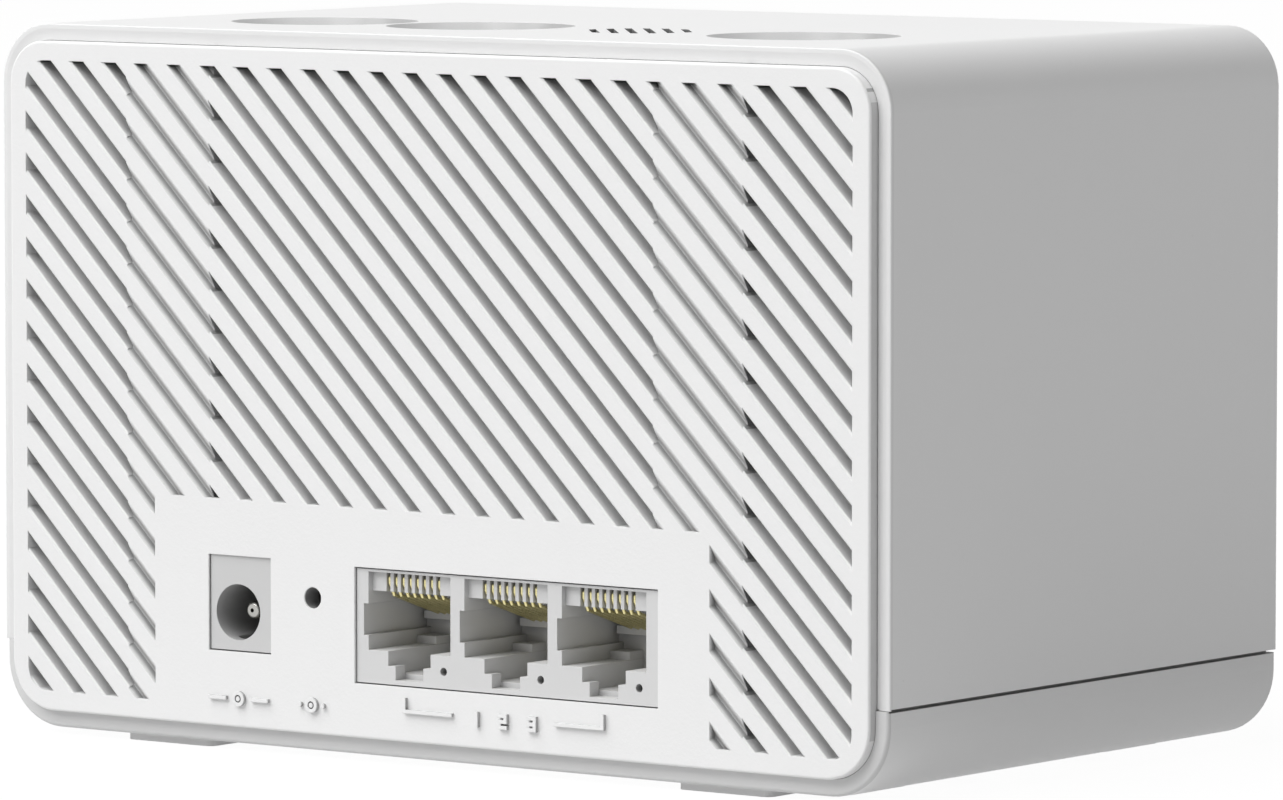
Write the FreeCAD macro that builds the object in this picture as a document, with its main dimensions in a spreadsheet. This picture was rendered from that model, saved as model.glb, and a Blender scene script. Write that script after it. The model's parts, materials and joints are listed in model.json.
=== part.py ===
import FreeCAD, Part
import Sketcher
import math
import os
import re

from FreeCAD import Placement, Rotation, Vector

# A desktop wireless router. +Z is up, +Y is the rear face with the sockets, and the
# origin is on the table under the middle of the box. All sizes are in millimetres.

SIZES = {
    # the box
    "body_width": 129.2,
    "body_height": 83.7,
    "body_depth": 79.25,
    "corner_radius": 7.0,
    "front_edge_radius": 0.8,
    "rim_edge_radius": 0.2,
    "rim_slope_width": 1.4,
    "rim_slope_depth": 0.35,
    "shell_wall": 2.0,
    "seam_height": 10.1,
    "seam_gap": 0.06,
    "seam_groove_height": 0.42,
    "seam_groove_depth": 0.9,
    "seam_groove_stop": 0.25,
    "base_inset": 0.25,
    "base_corner_radius": 8.0,
    "base_rim_radius": 0.45,
    "tongue_height": 2.0,
    "tongue_thickness": 0.9,
    "tongue_root": 2.5,
    "fit_gap": 0.1,
    # the feet
    "foot_height": 0.9,
    "foot_recess": 0.4,
    "foot_length": 13.0,
    "foot_width": 6.0,
    "foot_inset": 24.0,
    "foot_setback": 1.4,
    "foot_corner_radius": 1.0,
    "side_foot_length": 12.0,
    "side_foot_width": 4.0,
    "side_foot_inset": 13.5,
    "side_foot_setback": 8.0,
    # the rear panel
    "panel_proud": 1.15,
    "panel_plate": 2.6,
    "panel_depth": 5.0,
    "panel_skirt": 1.6,
    "panel_edge_radius": 0.3,
    "panel_gap": 0.05,
    "grille_side_margin": 2.4,
    "grille_top_margin": 2.3,
    "grille_bottom_margin": 2.35,
    "grille_corner_radius": 2.8,
    "slot_pitch": 5.0,
    "slot_width": 1.28,
    "slot_lip": 0.22,
    "slot_flare": 0.44,
    "slot_overrun": 4.0,
    "slot_start": 2.83,
    "blind_strip_width": 12.5,
    "blind_strip_left": 38.4,
    "blind_strip_right": 38.8,
    "blind_strip_depth": 1.05,
    "socket_field_width": 81.0,
    "socket_field_top": 24.4,
    "mark_height": 0.45,
    "mark_stroke": 0.45,
    "mark_size": 1.8,
    "mark_level": 3.4,
    "numeral_width": 1.3,
    "numeral_pitch": 4.2,
    "bracket_half": 14.54,
    "bracket_reach": 7.2,
    "sign_bar_start": 1.8,
    "sign_bar_end": 4.5,
    "sign_dot_radius": 0.3,
    "sign_dot_pitch": 1.7,
    "stop_depth": 2.0,
    "stop_height": 1.5,
    "stop_width": 10.0,
    "stop_spacing": 68.0,
    "hook_thickness": 1.0,
    "hook_width": 6.0,
    "hook_reach": 4.0,
    "hook_barb": 1.9,
    "hook_rise": 0.8,
    # screws, posts and pillars
    "pillar_radius": 3.5,
    "pillar_height": 14.5,
    "pillar_inset": 9.6,
    "pillar_rear_setback": 26.9,
    "pillar_front_setback": 26.35,
    "pillar_web": 2.0,
    "shell_screw_radius": 1.3,
    "shell_screw_length": 12.0,
    "screw_hole_spare": 1.0,
    "shell_screw_head_radius": 2.5,
    "shell_screw_head_height": 1.8,
    "counterbore_depth": 4.9,
    "screw_clearance": 0.2,
    "thread_clearance": 0.02,
    "post_radius": 3.0,
    "post_inset": 5.0,
    "post_rear_setback": 10.0,
    "post_front_setback": 6.0,
    "board_screw_radius": 1.1,
    "board_screw_length": 8.0,
    "board_screw_head_radius": 2.2,
    "board_screw_head_height": 1.7,
    "drive_recess_radius": 1.1,
    "drive_recess_depth": 0.9,
    # the main board
    "board_level": 22.2,
    "board_thickness": 1.6,
    "board_width": 98.0,
    "board_depth": 62.0,
    "board_rear_setback": 6.05,
    "board_corner_radius": 2.0,
    # the network socket block
    "port_pitch": 14.05,
    "port_block_width": 43.8,
    "port_block_height": 13.56,
    "port_block_level": 8.4,
    "port_block_x": -11.36,
    "port_block_depth": 21.3,
    "port_face_setback": 0.3,
    "port_window_gap": 0.15,
    "port_depth": 11.75,
    "port_mouth_width": 12.0,
    "port_side_relief": 0.68,
    "port_lip_depth": 0.75,
    "port_top_wall": 0.45,
    "port_bridge": 2.7,
    "port_wide_top": 4.18,
    "port_wide_bottom": 7.87,
    "port_floor": 9.56,
    "port_stop_width": 2.85,
    "port_stop_height": 0.95,
    "port_stop_length": 2.7,
    "port_rib_top": 5.86,
    "port_rib_height": 0.9,
    "port_rib_length": 1.2,
    "standoff_radius": 1.5,
    "standoff_inset": 4.0,
    "standoff_root": 1.0,
    "key_wide": 6.2,
    "key_wide_bottom": 11.24,
    "key_narrow": 4.07,
    "key_bottom": 12.86,
    "key_room_bottom": 12.26,
    "key_plate": 1.75,
    "indicator_hole_radius": 0.48,
    "indicator_hole_depth": 6.0,
    "indicator_hole_x": 5.0,
    "indicator_hole_level": 2.15,
    "contact_pitch": 1.04,
    "contact_radius": 0.22,
    "contact_groove": 0.56,
    "contact_groove_depth": 1.4,
    "contact_inset": 1.1,
    "contact_crest": 1.45,
    "contact_crest_height": 0.6,
    "contact_crest_sink": 0.12,
    "contact_top_gap": 0.15,
    "contact_tuck": 0.25,
    "contact_run": 8.2,
    "contact_drop": 2.7,
    # the power socket
    "power_x": 27.67,
    "power_bore_shift": 0.41,
    "power_window_width": 9.35,
    "power_window_height": 11.3,
    "power_window_gap": 0.15,
    "power_window_level": 10.9,
    "power_setback": 0.25,
    "power_body_depth": 14.4,
    "power_bore_radius": 3.29,
    "power_bore_depth": 9.6,
    "power_bore_level": 15.56,
    "power_pin_radius": 1.0,
    "power_pin_setback": 2.55,
    "power_pin_tip_radius": 0.35,
    "power_pin_root": 3.6,
    "power_pin_hollow_radius": 0.25,
    "power_pin_hollow_depth": 3.0,
    "power_spring_width": 2.4,
    "power_spring_thickness": 0.3,
    "power_slot_depth": 0.7,
    "power_slot_setback": 1.5,
    "power_spring_setback": 2.0,
    "power_crown_start": 3.0,
    "power_crown_length": 2.0,
    # the reset switch
    "reset_x": 16.73,
    "reset_level": 17.95,
    "reset_hole_radius": 1.25,
    "reset_case_width": 6.0,
    "reset_case_depth": 3.5,
    "reset_case_below": 2.4,
    "reset_wall": 0.7,
    "reset_chamber_radius": 1.75,
    "reset_stem_radius": 1.0,
    "reset_stem_length": 2.2,
    "reset_flange_radius": 1.6,
    "reset_flange_thickness": 0.6,
    "reset_nub_radius": 0.5,
    "reset_nub_length": 0.3,
    "reset_running_gap": 0.07,
    "reset_dome_radius": 1.6,
    "reset_dome_top_radius": 0.5,
    "reset_dome_height": 0.7,
    "reset_dome_thickness": 0.12,
    # the top of the case
    "dish_radius": 11.2,
    "dish_floor_radius": 10.4,
    "dish_depth": 0.95,
    "dish_spacing": 23.4,
    "dish_setback": 24.4,
    "vent_radius": 7.0,
    "vent_slot_width": 0.9,
    "vent_slot_pitch": 2.15,
    "bottom_vent_width": 2.0,
    "bottom_vent_length": 40.0,
    "bottom_vent_pitch": 5.0,
    # electronics on the board
    "processor_size": 17.0,
    "processor_height": 1.6,
    "pad_thickness": 1.0,
    "sink_width": 44.0,
    "sink_length": 36.0,
    "sink_base": 3.0,
    "sink_fin_height": 20.0,
    "sink_fin_thickness": 1.2,
    "sink_fin_pitch": 4.0,
    "sink_fin_margin": 7.0,
    "sink_gap": 3.0,
    "sink_pin_radius": 1.4,
    "sink_pin_head_radius": 2.4,
    "sink_pin_head_height": 1.6,
    "sink_pin_barb_radius": 1.8,
    "sink_pin_barb_height": 1.2,
    "sink_pin_margin": 3.2,
    "sink_pin_gap": 0.15,
    "chip_height": 1.0,
    "memory_width": 8.0,
    "memory_length": 12.0,
    "memory_spacing": 30.0,
    "memory_shift": 2.0,
    "flash_width": 8.0,
    "flash_length": 6.0,
    "flash_shift": 13.5,
    "switch_width": 10.0,
    "switch_length": 8.0,
    "switch_shift_x": 2.0,
    "switch_shift": 14.0,
    "radio_size": 9.0,
    "transformer_width": 12.0,
    "transformer_length": 8.0,
    "transformer_height": 5.0,
    "transformer_setback": 16.0,
    "shield_width": 18.0,
    "shield_length": 26.0,
    "shield_height": 2.4,
    "shield_wall": 0.3,
    "shield_inset": 13.0,
    "shield_shift": 1.0,
    "shield_fit": 0.03,
    "capacitor_radius": 3.15,
    "capacitor_height": 7.7,
    "capacitor_pitch": 7.6,
    "capacitor_setback": 5.0,
    "coil_size": 6.6,
    "coil_height": 3.6,
    "coil_pitch": 9.2,
    "coil_setback": 24.0,
    "led_width": 2.0,
    "led_length": 1.2,
    "led_height": 0.8,
    "guide_width": 3.0,
    "guide_height": 2.0,
    "guide_overlap": 2.0,
    "guide_pocket_gap": 0.1,
    # aerials
    "aerial_length": 44.0,
    "aerial_width": 12.0,
    "aerial_thickness": 0.8,
    "aerial_drop": 18.6,
    "aerial_setback": 44.9,
    "top_aerial_setback": 22.35,
    "lead_radius": 0.57,
    "lead_overlap": 3.0,
    "lead_drop": 14.0,
    "side_lead_approach": 12.0,
    "front_lead_x": 10.0,
    "front_lead_sway": 3.0,
    "front_lead_stand": 2.0,
    "front_lead_lift": 8.0,
    "front_lead_approach": 7.0,
    "top_lead_start": 7.0,
    "top_lead_run": 8.0,
    "top_lead_wall_gap": 10.6,
    "top_lead_bend": 16.0,
    "top_lead_approach": 10.0,
    "jack_radius": 1.3,
    "jack_height": 1.3,
    "plug_radius": 1.6,
    "plug_height": 1.4,
    "jack_inset": 11.0,
    "front_jack_inset": 18.0,
    "left_jack_shift": -5.0,
    "right_jack_shift": 17.0,
    "front_jack_shift": -19.0,
    "top_jack_shift": -14.0,
    # how far a cutting tool starts and ends outside the metal or plastic
    "overcut": 1.0,
}

doc = FreeCAD.newDocument("router")
sheet = doc.addObject("Spreadsheet::Sheet", "Sizes")
for row, (alias, size) in enumerate(SIZES.items(), start=1):
    sheet.set(f"A{row}", alias)
    sheet.set(f"B{row}", str(size))
    sheet.setAlias(f"B{row}", alias)
doc.recompute()


# ---------------------------------------------------------------- helpers

def tie(text):
    """An expression in plain size names, made to read the sheet."""
    def cell(match):
        word = match.group()
        return f"Sizes.{word}" if word in SIZES else word
    return re.sub(r"[a-z][a-z_]*", cell, str(text))


def value(text):
    """What an expression in size names comes to, in millimetres."""
    result = sheet.evalExpression(tie(text))
    return float(getattr(result, "Value", result))


def bind(thing, prop, text):
    thing.setExpression(prop, tie(text))


def place(thing, x, y, z):
    for axis, text in zip("xyz", (x, y, z)):
        bind(thing, f"Placement.Base.{axis}", text)


def block(name, x, y, z):
    """A box between a low and a high expression along each axis."""
    box = doc.addObject("Part::Box", name)
    for side, (low, high) in zip(("Length", "Width", "Height"), (x, y, z)):
        bind(box, side, f"({high}) - ({low})")
    place(box, x[0], y[0], z[0])
    return box


TURN_TO = {"z": Rotation(), "y": Rotation(Vector(1, 0, 0), -90), "x": Rotation(Vector(0, 1, 0), 90)}


def rod(name, radius, length, x, y, z, along="z"):
    """A cylinder that starts at a point and runs along +X, +Y or +Z."""
    cylinder = doc.addObject("Part::Cylinder", name)
    bind(cylinder, "Radius", radius)
    bind(cylinder, "Height", length)
    cylinder.Placement = Placement(Vector(), TURN_TO[along])
    place(cylinder, x, y, z)
    return cylinder


def join(name, *parts):
    fused = doc.addObject("Part::MultiFuse", name)
    fused.Shapes = list(parts)
    return fused


def group(name, *parts):
    """Separate solids kept together in one node."""
    compound = doc.addObject("Part::Compound", name)
    compound.Links = list(parts)
    return compound


def cut(name, base, *tools):
    result = doc.addObject("Part::Cut", name)
    result.Base = base
    result.Tool = tools[0] if len(tools) == 1 else join(f"{name}_tools", *tools)
    return result


def common(name, first, second):
    result = doc.addObject("Part::Common", name)
    result.Base = first
    result.Tool = second
    return result


def runs_along(edge, axis):
    """True for a straight edge that is parallel to the axis."""
    if not isinstance(edge.Curve, (Part.Line, Part.LineSegment)):
        return False
    direction = edge.tangentAt(edge.FirstParameter)
    return abs(abs(direction.dot(axis)) - 1) < 1e-6


def round_block(name, radius, x, y, z, along):
    """A box whose four edges along one axis are rounded."""
    sharp = block(f"{name}_sharp", x, y, z)
    doc.recompute()
    result = doc.addObject("Part::Fillet", name)
    result.Base = sharp
    size = value(radius)
    edges = enumerate(sharp.Shape.Edges, start=1)
    result.Edges = [(index, size, size) for index, edge in edges if runs_along(edge, along)]
    return result


def new_body(name):
    return doc.addObject("PartDesign::Body", name)


def plane_sketch(body, name, role, offset):
    """A sketch on one of the body's own planes, moved along its normal."""
    sketch = body.newObject("Sketcher::SketchObject", name)
    plane = next(item for item in body.Origin.OriginFeatures if item.Role == role)
    sketch.AttachmentSupport = [(plane, "")]
    sketch.MapMode = "FlatFace"
    bind(sketch, "AttachmentOffset.Base.z", offset)
    return sketch


def dimension(sketch, kind, target, text):
    """Hold a point of the sketch at a bound distance from its origin."""
    distance = value(text)
    if abs(distance) < 1e-9:
        axis = -2 if kind == "DistanceX" else -1
        sketch.addConstraint(Sketcher.Constraint("PointOnObject", *target, axis))
        return
    if distance > 0:
        ends, bound = (-1, 1, *target), text
    else:
        ends, bound = (*target, -1, 1), f"-({text})"
    index = sketch.addConstraint(Sketcher.Constraint(kind, *ends, abs(distance)))
    sketch.setExpression(f"Constraints[{index}]", tie(bound))


def draw_rectangle(sketch, left, right, low, high):
    first = sketch.GeometryCount
    x0, x1, y0, y1 = (value(text) for text in (left, right, low, high))
    corners = [Vector(x0, y0), Vector(x1, y0), Vector(x1, y1), Vector(x0, y1)]
    for index in range(4):
        sketch.addGeometry(Part.LineSegment(corners[index], corners[(index + 1) % 4]))
    for index in range(4):
        pair = (first + index, 2, first + (index + 1) % 4, 1)
        sketch.addConstraint(Sketcher.Constraint("Coincident", *pair))
        kind = "Horizontal" if index % 2 == 0 else "Vertical"
        sketch.addConstraint(Sketcher.Constraint(kind, first + index))
    dimension(sketch, "DistanceX", (first + 3, 1), left)
    dimension(sketch, "DistanceX", (first + 1, 1), right)
    dimension(sketch, "DistanceY", (first, 1), low)
    dimension(sketch, "DistanceY", (first + 2, 1), high)


def draw_rounded_rectangle(sketch, left, right, low, high, radius):
    x0, x1, y0, y1, r = (value(text) for text in (left, right, low, high, radius))
    ends = [Vector(x0 + r, y0), Vector(x1 - r, y0), Vector(x1, y0 + r), Vector(x1, y1 - r),
            Vector(x1 - r, y1), Vector(x0 + r, y1), Vector(x0, y1 - r), Vector(x0, y0 + r)]
    centres = [Vector(x1 - r, y0 + r), Vector(x1 - r, y1 - r),
               Vector(x0 + r, y1 - r), Vector(x0 + r, y0 + r)]
    for index in range(4):
        sketch.addGeometry(Part.LineSegment(ends[2 * index], ends[2 * index + 1]))
        start = (index - 1) * math.pi / 2
        circle = Part.Circle(centres[index], Vector(0, 0, 1), r)
        sketch.addGeometry(Part.ArcOfCircle(circle, start, start + math.pi / 2))
    for index in range(4):
        line, arc, after = 2 * index, 2 * index + 1, (2 * index + 2) % 8
        sketch.addConstraint(Sketcher.Constraint("Tangent", line, 2, arc, 1))
        sketch.addConstraint(Sketcher.Constraint("Tangent", arc, 2, after, 1))
        kind = "Horizontal" if index % 2 == 0 else "Vertical"
        sketch.addConstraint(Sketcher.Constraint(kind, line))
        if index:
            sketch.addConstraint(Sketcher.Constraint("Equal", 1, arc))
    dimension(sketch, "DistanceX", (6, 1), left)
    dimension(sketch, "DistanceX", (2, 1), right)
    dimension(sketch, "DistanceY", (0, 1), low)
    dimension(sketch, "DistanceY", (4, 1), high)
    held = sketch.addConstraint(Sketcher.Constraint("Radius", 1, r))
    sketch.setExpression(f"Constraints[{held}]", tie(radius))


def draw_circle(sketch, x, y, radius):
    index = sketch.addGeometry(Part.Circle(Vector(value(x), value(y)), Vector(0, 0, 1), value(radius)))
    dimension(sketch, "DistanceX", (index, 3), x)
    dimension(sketch, "DistanceY", (index, 3), y)
    held = sketch.addConstraint(Sketcher.Constraint("Radius", index, value(radius)))
    sketch.setExpression(f"Constraints[{held}]", tie(radius))


def pad(body, sketch, length):
    feature = body.newObject("PartDesign::Pad", f"{sketch.Name}_pad")
    feature.Profile = sketch
    bind(feature, "Length", length)
    return feature


def pocket(body, sketch, depth):
    """Cut along the sketch's own normal."""
    feature = body.newObject("PartDesign::Pocket", f"{sketch.Name}_pocket")
    feature.Profile = sketch
    feature.Reversed = True
    bind(feature, "Length", depth)
    return feature


def dress(body, kind, name, wanted, **sizes):
    """Fillet or chamfer the edges of the body's tip that the test picks."""
    doc.recompute()
    base = body.Tip
    edges = enumerate(base.Shape.Edges, start=1)
    names = [f"Edge{index}" for index, edge in edges if wanted(edge)]
    feature = body.newObject(f"PartDesign::{kind}", name)
    feature.Base = (base, names)
    for prop, text in sizes.items():
        bind(feature, prop, text)
    return feature


def lies_at(edge, axis, level):
    """True for an edge that lies flat at one level along the axis."""
    box = edge.BoundBox
    low, high = (box.YMin, box.YMax) if axis == "y" else (box.ZMin, box.ZMax)
    return abs(low - level) < 1e-3 and abs(high - level) < 1e-3


def pattern(body, feature, name, role, length, count):
    """Repeat a feature along one of the body's own axes."""
    doc.recompute()
    result = body.newObject("PartDesign::LinearPattern", name)
    result.Originals = [feature]
    axis = next(item for item in body.Origin.OriginFeatures if item.Role == role)
    result.Direction = (axis, [""])
    bind(result, "Length", length)
    result.Occurrences = count
    body.Tip = result
    return result


X, Y, Z = Vector(1, 0, 0), Vector(0, 1, 0), Vector(0, 0, 1)

# Levels and faces that several pieces share.
FRONT = "(-(body_depth + panel_proud + mark_height) / 2)"
RIM = f"({FRONT} + body_depth)"
FACE = f"({RIM} + panel_proud)"
BOTTOM = "foot_height"
TOP = "(foot_height + body_height)"
SEAM = "(foot_height + seam_height)"
HALF_INSIDE = "(body_width / 2 - shell_wall)"
FLOOR = "(foot_height + shell_wall)"
CEILING = f"({TOP} - shell_wall)"
INSIDE_FRONT = f"({FRONT} + shell_wall)"
PANEL_MARGIN = "(shell_wall + panel_gap)"
PANEL_HALF = f"(body_width / 2 - {PANEL_MARGIN})"
PANEL_LOW = f"({BOTTOM} + {PANEL_MARGIN})"
PANEL_HIGH = f"({TOP} - {PANEL_MARGIN})"
PANEL_SEAT = f"({FACE} - panel_depth)"
PLATE_BACK = f"({FACE} - panel_plate)"
BOARD_LOW = "(foot_height + board_level)"
BOARD_HIGH = f"({BOARD_LOW} + board_thickness)"
BOARD_REAR = f"({FACE} - board_rear_setback)"
BOARD_FRONT = f"({BOARD_REAR} - board_depth)"

nodes = {}


def keep(name, thing):
    """Register a finished sub-part under the name of its file."""
    thing.Label = name
    nodes[name] = thing
    return thing


def corners(half_x, rear_y, front_y):
    """The four corners of a rectangle: each one's name and place."""
    return [(f"{end}_{side}", f"({sign} * {half_x})", y)
            for side, sign in (("left", 1), ("right", -1))
            for end, y in (("rear", rear_y), ("front", front_y))]


VENT_SLOTS = 6
VENT_TURN = 50
PILLARS = corners("(body_width / 2 - pillar_inset)", f"({RIM} - pillar_rear_setback)",
                  f"({FRONT} + pillar_front_setback)")
POSTS = corners("(board_width / 2 - post_inset)", f"({BOARD_REAR} - post_rear_setback)",
                f"({BOARD_FRONT} + post_front_setback)")


# ---------------------------------------------------------------- the case

def case_body(name, half_width, front, rear_radius, corner):
    """A hollow rounded box, open at the rear, for either half of the case."""
    body = new_body(name)
    outline = plane_sketch(body, f"{name}_outline", "XZ_Plane", f"-{RIM}")
    draw_rectangle(outline, f"-{half_width}", half_width, BOTTOM, TOP)
    pad(body, outline, f"{RIM} - {front}")
    dress(body, "Fillet", f"{name}_corners", lambda edge: runs_along(edge, Y), Radius=corner)
    front_level = value(front)
    dress(body, "Fillet", f"{name}_front_edge", lambda edge: lies_at(edge, "y", front_level),
          Radius="front_edge_radius")
    rim_level = value(RIM)
    dress(body, "Fillet", f"{name}_rim_edge", lambda edge: lies_at(edge, "y", rim_level),
          Radius=rear_radius)
    hollow = plane_sketch(body, f"{name}_hollow", "XZ_Plane", f"-{RIM}")
    draw_rounded_rectangle(hollow, f"-{HALF_INSIDE}", HALF_INSIDE, FLOOR, CEILING,
                           f"{corner} - shell_wall")
    pocket(body, hollow, f"{RIM} - {INSIDE_FRONT}")
    return body


def trim_body(body, low, high):
    """Take away everything between two levels, right across the case."""
    sketch = plane_sketch(body, f"{body.Name}_trim", "XZ_Plane", f"-({RIM} + overcut)")
    draw_rectangle(sketch, "-body_width", "body_width", low, high)
    return pocket(body, sketch, "body_depth + 2 * overcut")


def seam_groove(name):
    """A shadow line along the seam, on the sides and the front; it stops short of the rear rim."""
    low, high = f"{SEAM} - seam_groove_height / 2", f"{SEAM} + seam_groove_height / 2"
    outer = block(f"{name}_outer", ("-body_width", "body_width"),
                  (f"{FRONT} - overcut", f"{RIM} - seam_groove_stop"), (low, high))
    inner = block(f"{name}_inner", ("-(body_width / 2 - base_inset - seam_groove_depth)",
                                    "body_width / 2 - base_inset - seam_groove_depth"),
                  (f"{FRONT} + seam_groove_depth", f"{RIM} + overcut"),
                  (f"{low} - overcut", f"{high} + overcut"))
    return cut(name, outer, inner)


def make_upper_shell():
    body = case_body("upper_case", "(body_width / 2)", FRONT, "rim_edge_radius", "corner_radius")
    # The rim falls gently towards the panel, like a shallow dish round it.
    rim_level = value(RIM)
    half = value(HALF_INSIDE)
    slope = dress(body, "Chamfer", "upper_case_rim_slope",
                  lambda edge: lies_at(edge, "y", rim_level) and abs(edge.BoundBox.Center.x) < half + 0.01
                  and edge.BoundBox.XMax < half + 0.01 and edge.BoundBox.XMin > -half - 0.01
                  and edge.BoundBox.ZMax < value(CEILING) + 0.01
                  and edge.BoundBox.ZMin > value(FLOOR) - 0.01,
                  Size="rim_slope_width", Size2="rim_slope_depth")
    slope.ChamferType = "Two distances"
    trim_body(body, f"{BOTTOM} - overcut", f"{SEAM} + seam_gap / 2")

    extras = []
    for spot, x, y in PILLARS:
        side = 1 if "left" in spot else -1
        shaft = rod(f"pillar_{spot}", "pillar_radius", "pillar_height", x, y, SEAM)
        web_start = f"({SEAM} + tongue_height + 4 * fit_gap)"
        wall = f"({side} * ({HALF_INSIDE} + shell_wall / 4))"
        limits = (x, wall) if side > 0 else (wall, x)
        web = block(f"pillar_web_{spot}", limits, (f"{y} - pillar_web / 2", f"{y} + pillar_web / 2"),
                    (web_start, f"{SEAM} + pillar_height"))
        extras += [shaft, web]
    for side in (1, -1):
        centre = f"({side} * stop_spacing / 2)"
        extras.append(block(f"upper_stop_{'left' if side > 0 else 'right'}",
                            (f"{centre} - stop_width / 2", f"{centre} + stop_width / 2"),
                            (f"{PANEL_SEAT} - stop_depth", PANEL_SEAT),
                            (f"{CEILING} - stop_height", f"{CEILING} + shell_wall / 4")))
    whole = join("upper_case_whole", body, *extras)

    tools = [seam_groove("upper_seam_groove")]
    for spot, x, y in PILLARS:
        tools.append(rod(f"pillar_hole_{spot}", "shell_screw_radius + thread_clearance",
                         "counterbore_depth + shell_screw_length + screw_hole_spare", x, y, BOTTOM))
    # A row of shallow round dishes near the rear edge; one of them is a slotted vent.
    for index in range(4):
        x = f"((1.5 - {index}) * dish_spacing)"
        y = f"({RIM} - dish_setback)"
        if index == 2:
            tools.append(top_vent(x, y))
            continue
        dish = doc.addObject("Part::Cone", f"dish_{index}")
        bind(dish, "Radius1", "dish_floor_radius")
        bind(dish, "Radius2", "2 * dish_radius - dish_floor_radius")
        bind(dish, "Height", "2 * dish_depth")
        place(dish, x, y, f"{TOP} - dish_depth")
        tools.append(dish)
    gap = "fit_gap"
    tools.append(block("light_window", (f"-guide_width / 2 - {gap}", f"guide_width / 2 + {gap}"),
                       (f"{FRONT} - overcut", f"{INSIDE_FRONT} + overcut"),
                       (f"{BOARD_HIGH} - {gap}", f"{BOARD_HIGH} + guide_height + {gap}")))
    return keep("upper_shell", cut("upper_shell", whole, *tools))


def top_vent(x, y):
    """Slanted slots side by side through the top, kept inside a circle."""
    low, through = f"{CEILING} - overcut", "shell_wall + 2 * overcut"
    field = rod("top_vent_field", "vent_radius", through, x, y, low)
    back = "(vent_radius + overcut)"
    bars = []
    for index in range(VENT_SLOTS):
        bar = doc.addObject("Part::Box", f"top_vent_bar_{index}")
        bind(bar, "Length", f"2 * {back}")
        bind(bar, "Width", "vent_slot_width")
        bind(bar, "Height", through)
        bar.Placement = Placement(Vector(), Rotation(Z, -VENT_TURN))
        across = f"(({index} - {(VENT_SLOTS - 1) / 2}) * vent_slot_pitch - vent_slot_width / 2)"
        place(bar, f"{x} - {back} * cos({VENT_TURN}) + {across} * sin({VENT_TURN})",
              f"{y} + {back} * sin({VENT_TURN}) + {across} * cos({VENT_TURN})", low)
        bars.append(bar)
    return common("top_vent", group("top_vent_bars", *bars), field)


def make_base_shell():
    half = "(body_width / 2 - base_inset)"
    body = case_body("base_case", half, FRONT, "base_rim_radius", "base_corner_radius")
    trim_body(body, f"{SEAM} - seam_gap / 2", f"{TOP} + overcut")

    extras = []
    # A tongue stands inside the upper shell's wall, along the sides and the front.
    tongue_outer = f"({HALF_INSIDE} - fit_gap)"
    tongue_inner = f"({tongue_outer} - tongue_thickness)"
    root = f"({SEAM} - tongue_root)"
    tongue_rear = f"({PANEL_SEAT} - stop_depth)"
    tongue_front = f"({INSIDE_FRONT} + fit_gap)"
    for side in (1, -1):
        word = "left" if side > 0 else "right"
        for part, outer, high in (("tongue", tongue_outer, f"{SEAM} + tongue_height"),
                                  ("root", f"({HALF_INSIDE} + fit_gap)", f"{SEAM} - seam_gap / 2")):
            limits = (tongue_inner, outer) if side > 0 else (f"-{outer}", f"-{tongue_inner}")
            extras.append(block(f"{part}_{word}", limits, (tongue_front, tongue_rear), (root, high)))
    for part, front, high in (("tongue", tongue_front, f"{SEAM} + tongue_height"),
                              ("root", f"({INSIDE_FRONT} - fit_gap)", f"{SEAM} - seam_gap / 2")):
        extras.append(block(f"{part}_front", (f"-{tongue_outer}", tongue_outer),
                            (front, f"{tongue_front} + tongue_thickness"), (root, high)))
    for spot, x, y in PILLARS:
        extras.append(rod(f"base_boss_{spot}", "pillar_radius", f"{SEAM} - {FLOOR} + shell_wall / 2",
                          x, y, f"{FLOOR} - shell_wall / 2"))
    for spot, x, y in POSTS:
        extras.append(rod(f"board_post_{spot}", "post_radius", f"{BOARD_LOW} - {FLOOR} + shell_wall / 2",
                          x, y, f"{FLOOR} - shell_wall / 2"))
    for side in (1, -1):
        centre = f"({side} * stop_spacing / 2)"
        extras.append(block(f"base_stop_{'left' if side > 0 else 'right'}",
                            (f"{centre} - stop_width / 2", f"{centre} + stop_width / 2"),
                            (f"{PANEL_SEAT} - stop_depth", PANEL_SEAT),
                            (f"{FLOOR} - shell_wall / 4", f"{FLOOR} + stop_height")))
    whole = join("base_case_whole", body, *extras)

    tools = [seam_groove("base_seam_groove")]
    for spot, x, y in PILLARS:
        tools.append(rod(f"base_hole_{spot}", "shell_screw_radius + screw_clearance",
                         "seam_height + 2 * overcut", x, y, f"{BOTTOM} - overcut"))
        tools.append(rod(f"base_counterbore_{spot}", "shell_screw_head_radius + screw_clearance",
                         "counterbore_depth + overcut", x, y, f"{BOTTOM} - overcut"))
    for spot, x, y in POSTS:
        tools.append(rod(f"board_post_hole_{spot}", "board_screw_radius + thread_clearance",
                         "board_screw_length + screw_hole_spare", x, y,
                         f"{BOARD_HIGH} - board_screw_length - screw_hole_spare"))
    for index in range(-4, 5):
        x = f"({index} * bottom_vent_pitch)"
        tools.append(block(f"bottom_vent_{index + 4}",
                           (f"{x} - bottom_vent_width / 2", f"{x} + bottom_vent_width / 2"),
                           ("-bottom_vent_length / 2", "bottom_vent_length / 2"),
                           (f"{BOTTOM} - overcut", f"{FLOOR} + overcut")))
    for name, x, y, radius in FEET:
        tools.append(foot_block(f"{name}_recess", x, y, "fit_gap", f"{BOTTOM} - overcut", BOTTOM, radius))
    return keep("base_shell", cut("base_shell", whole, *tools))


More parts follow.
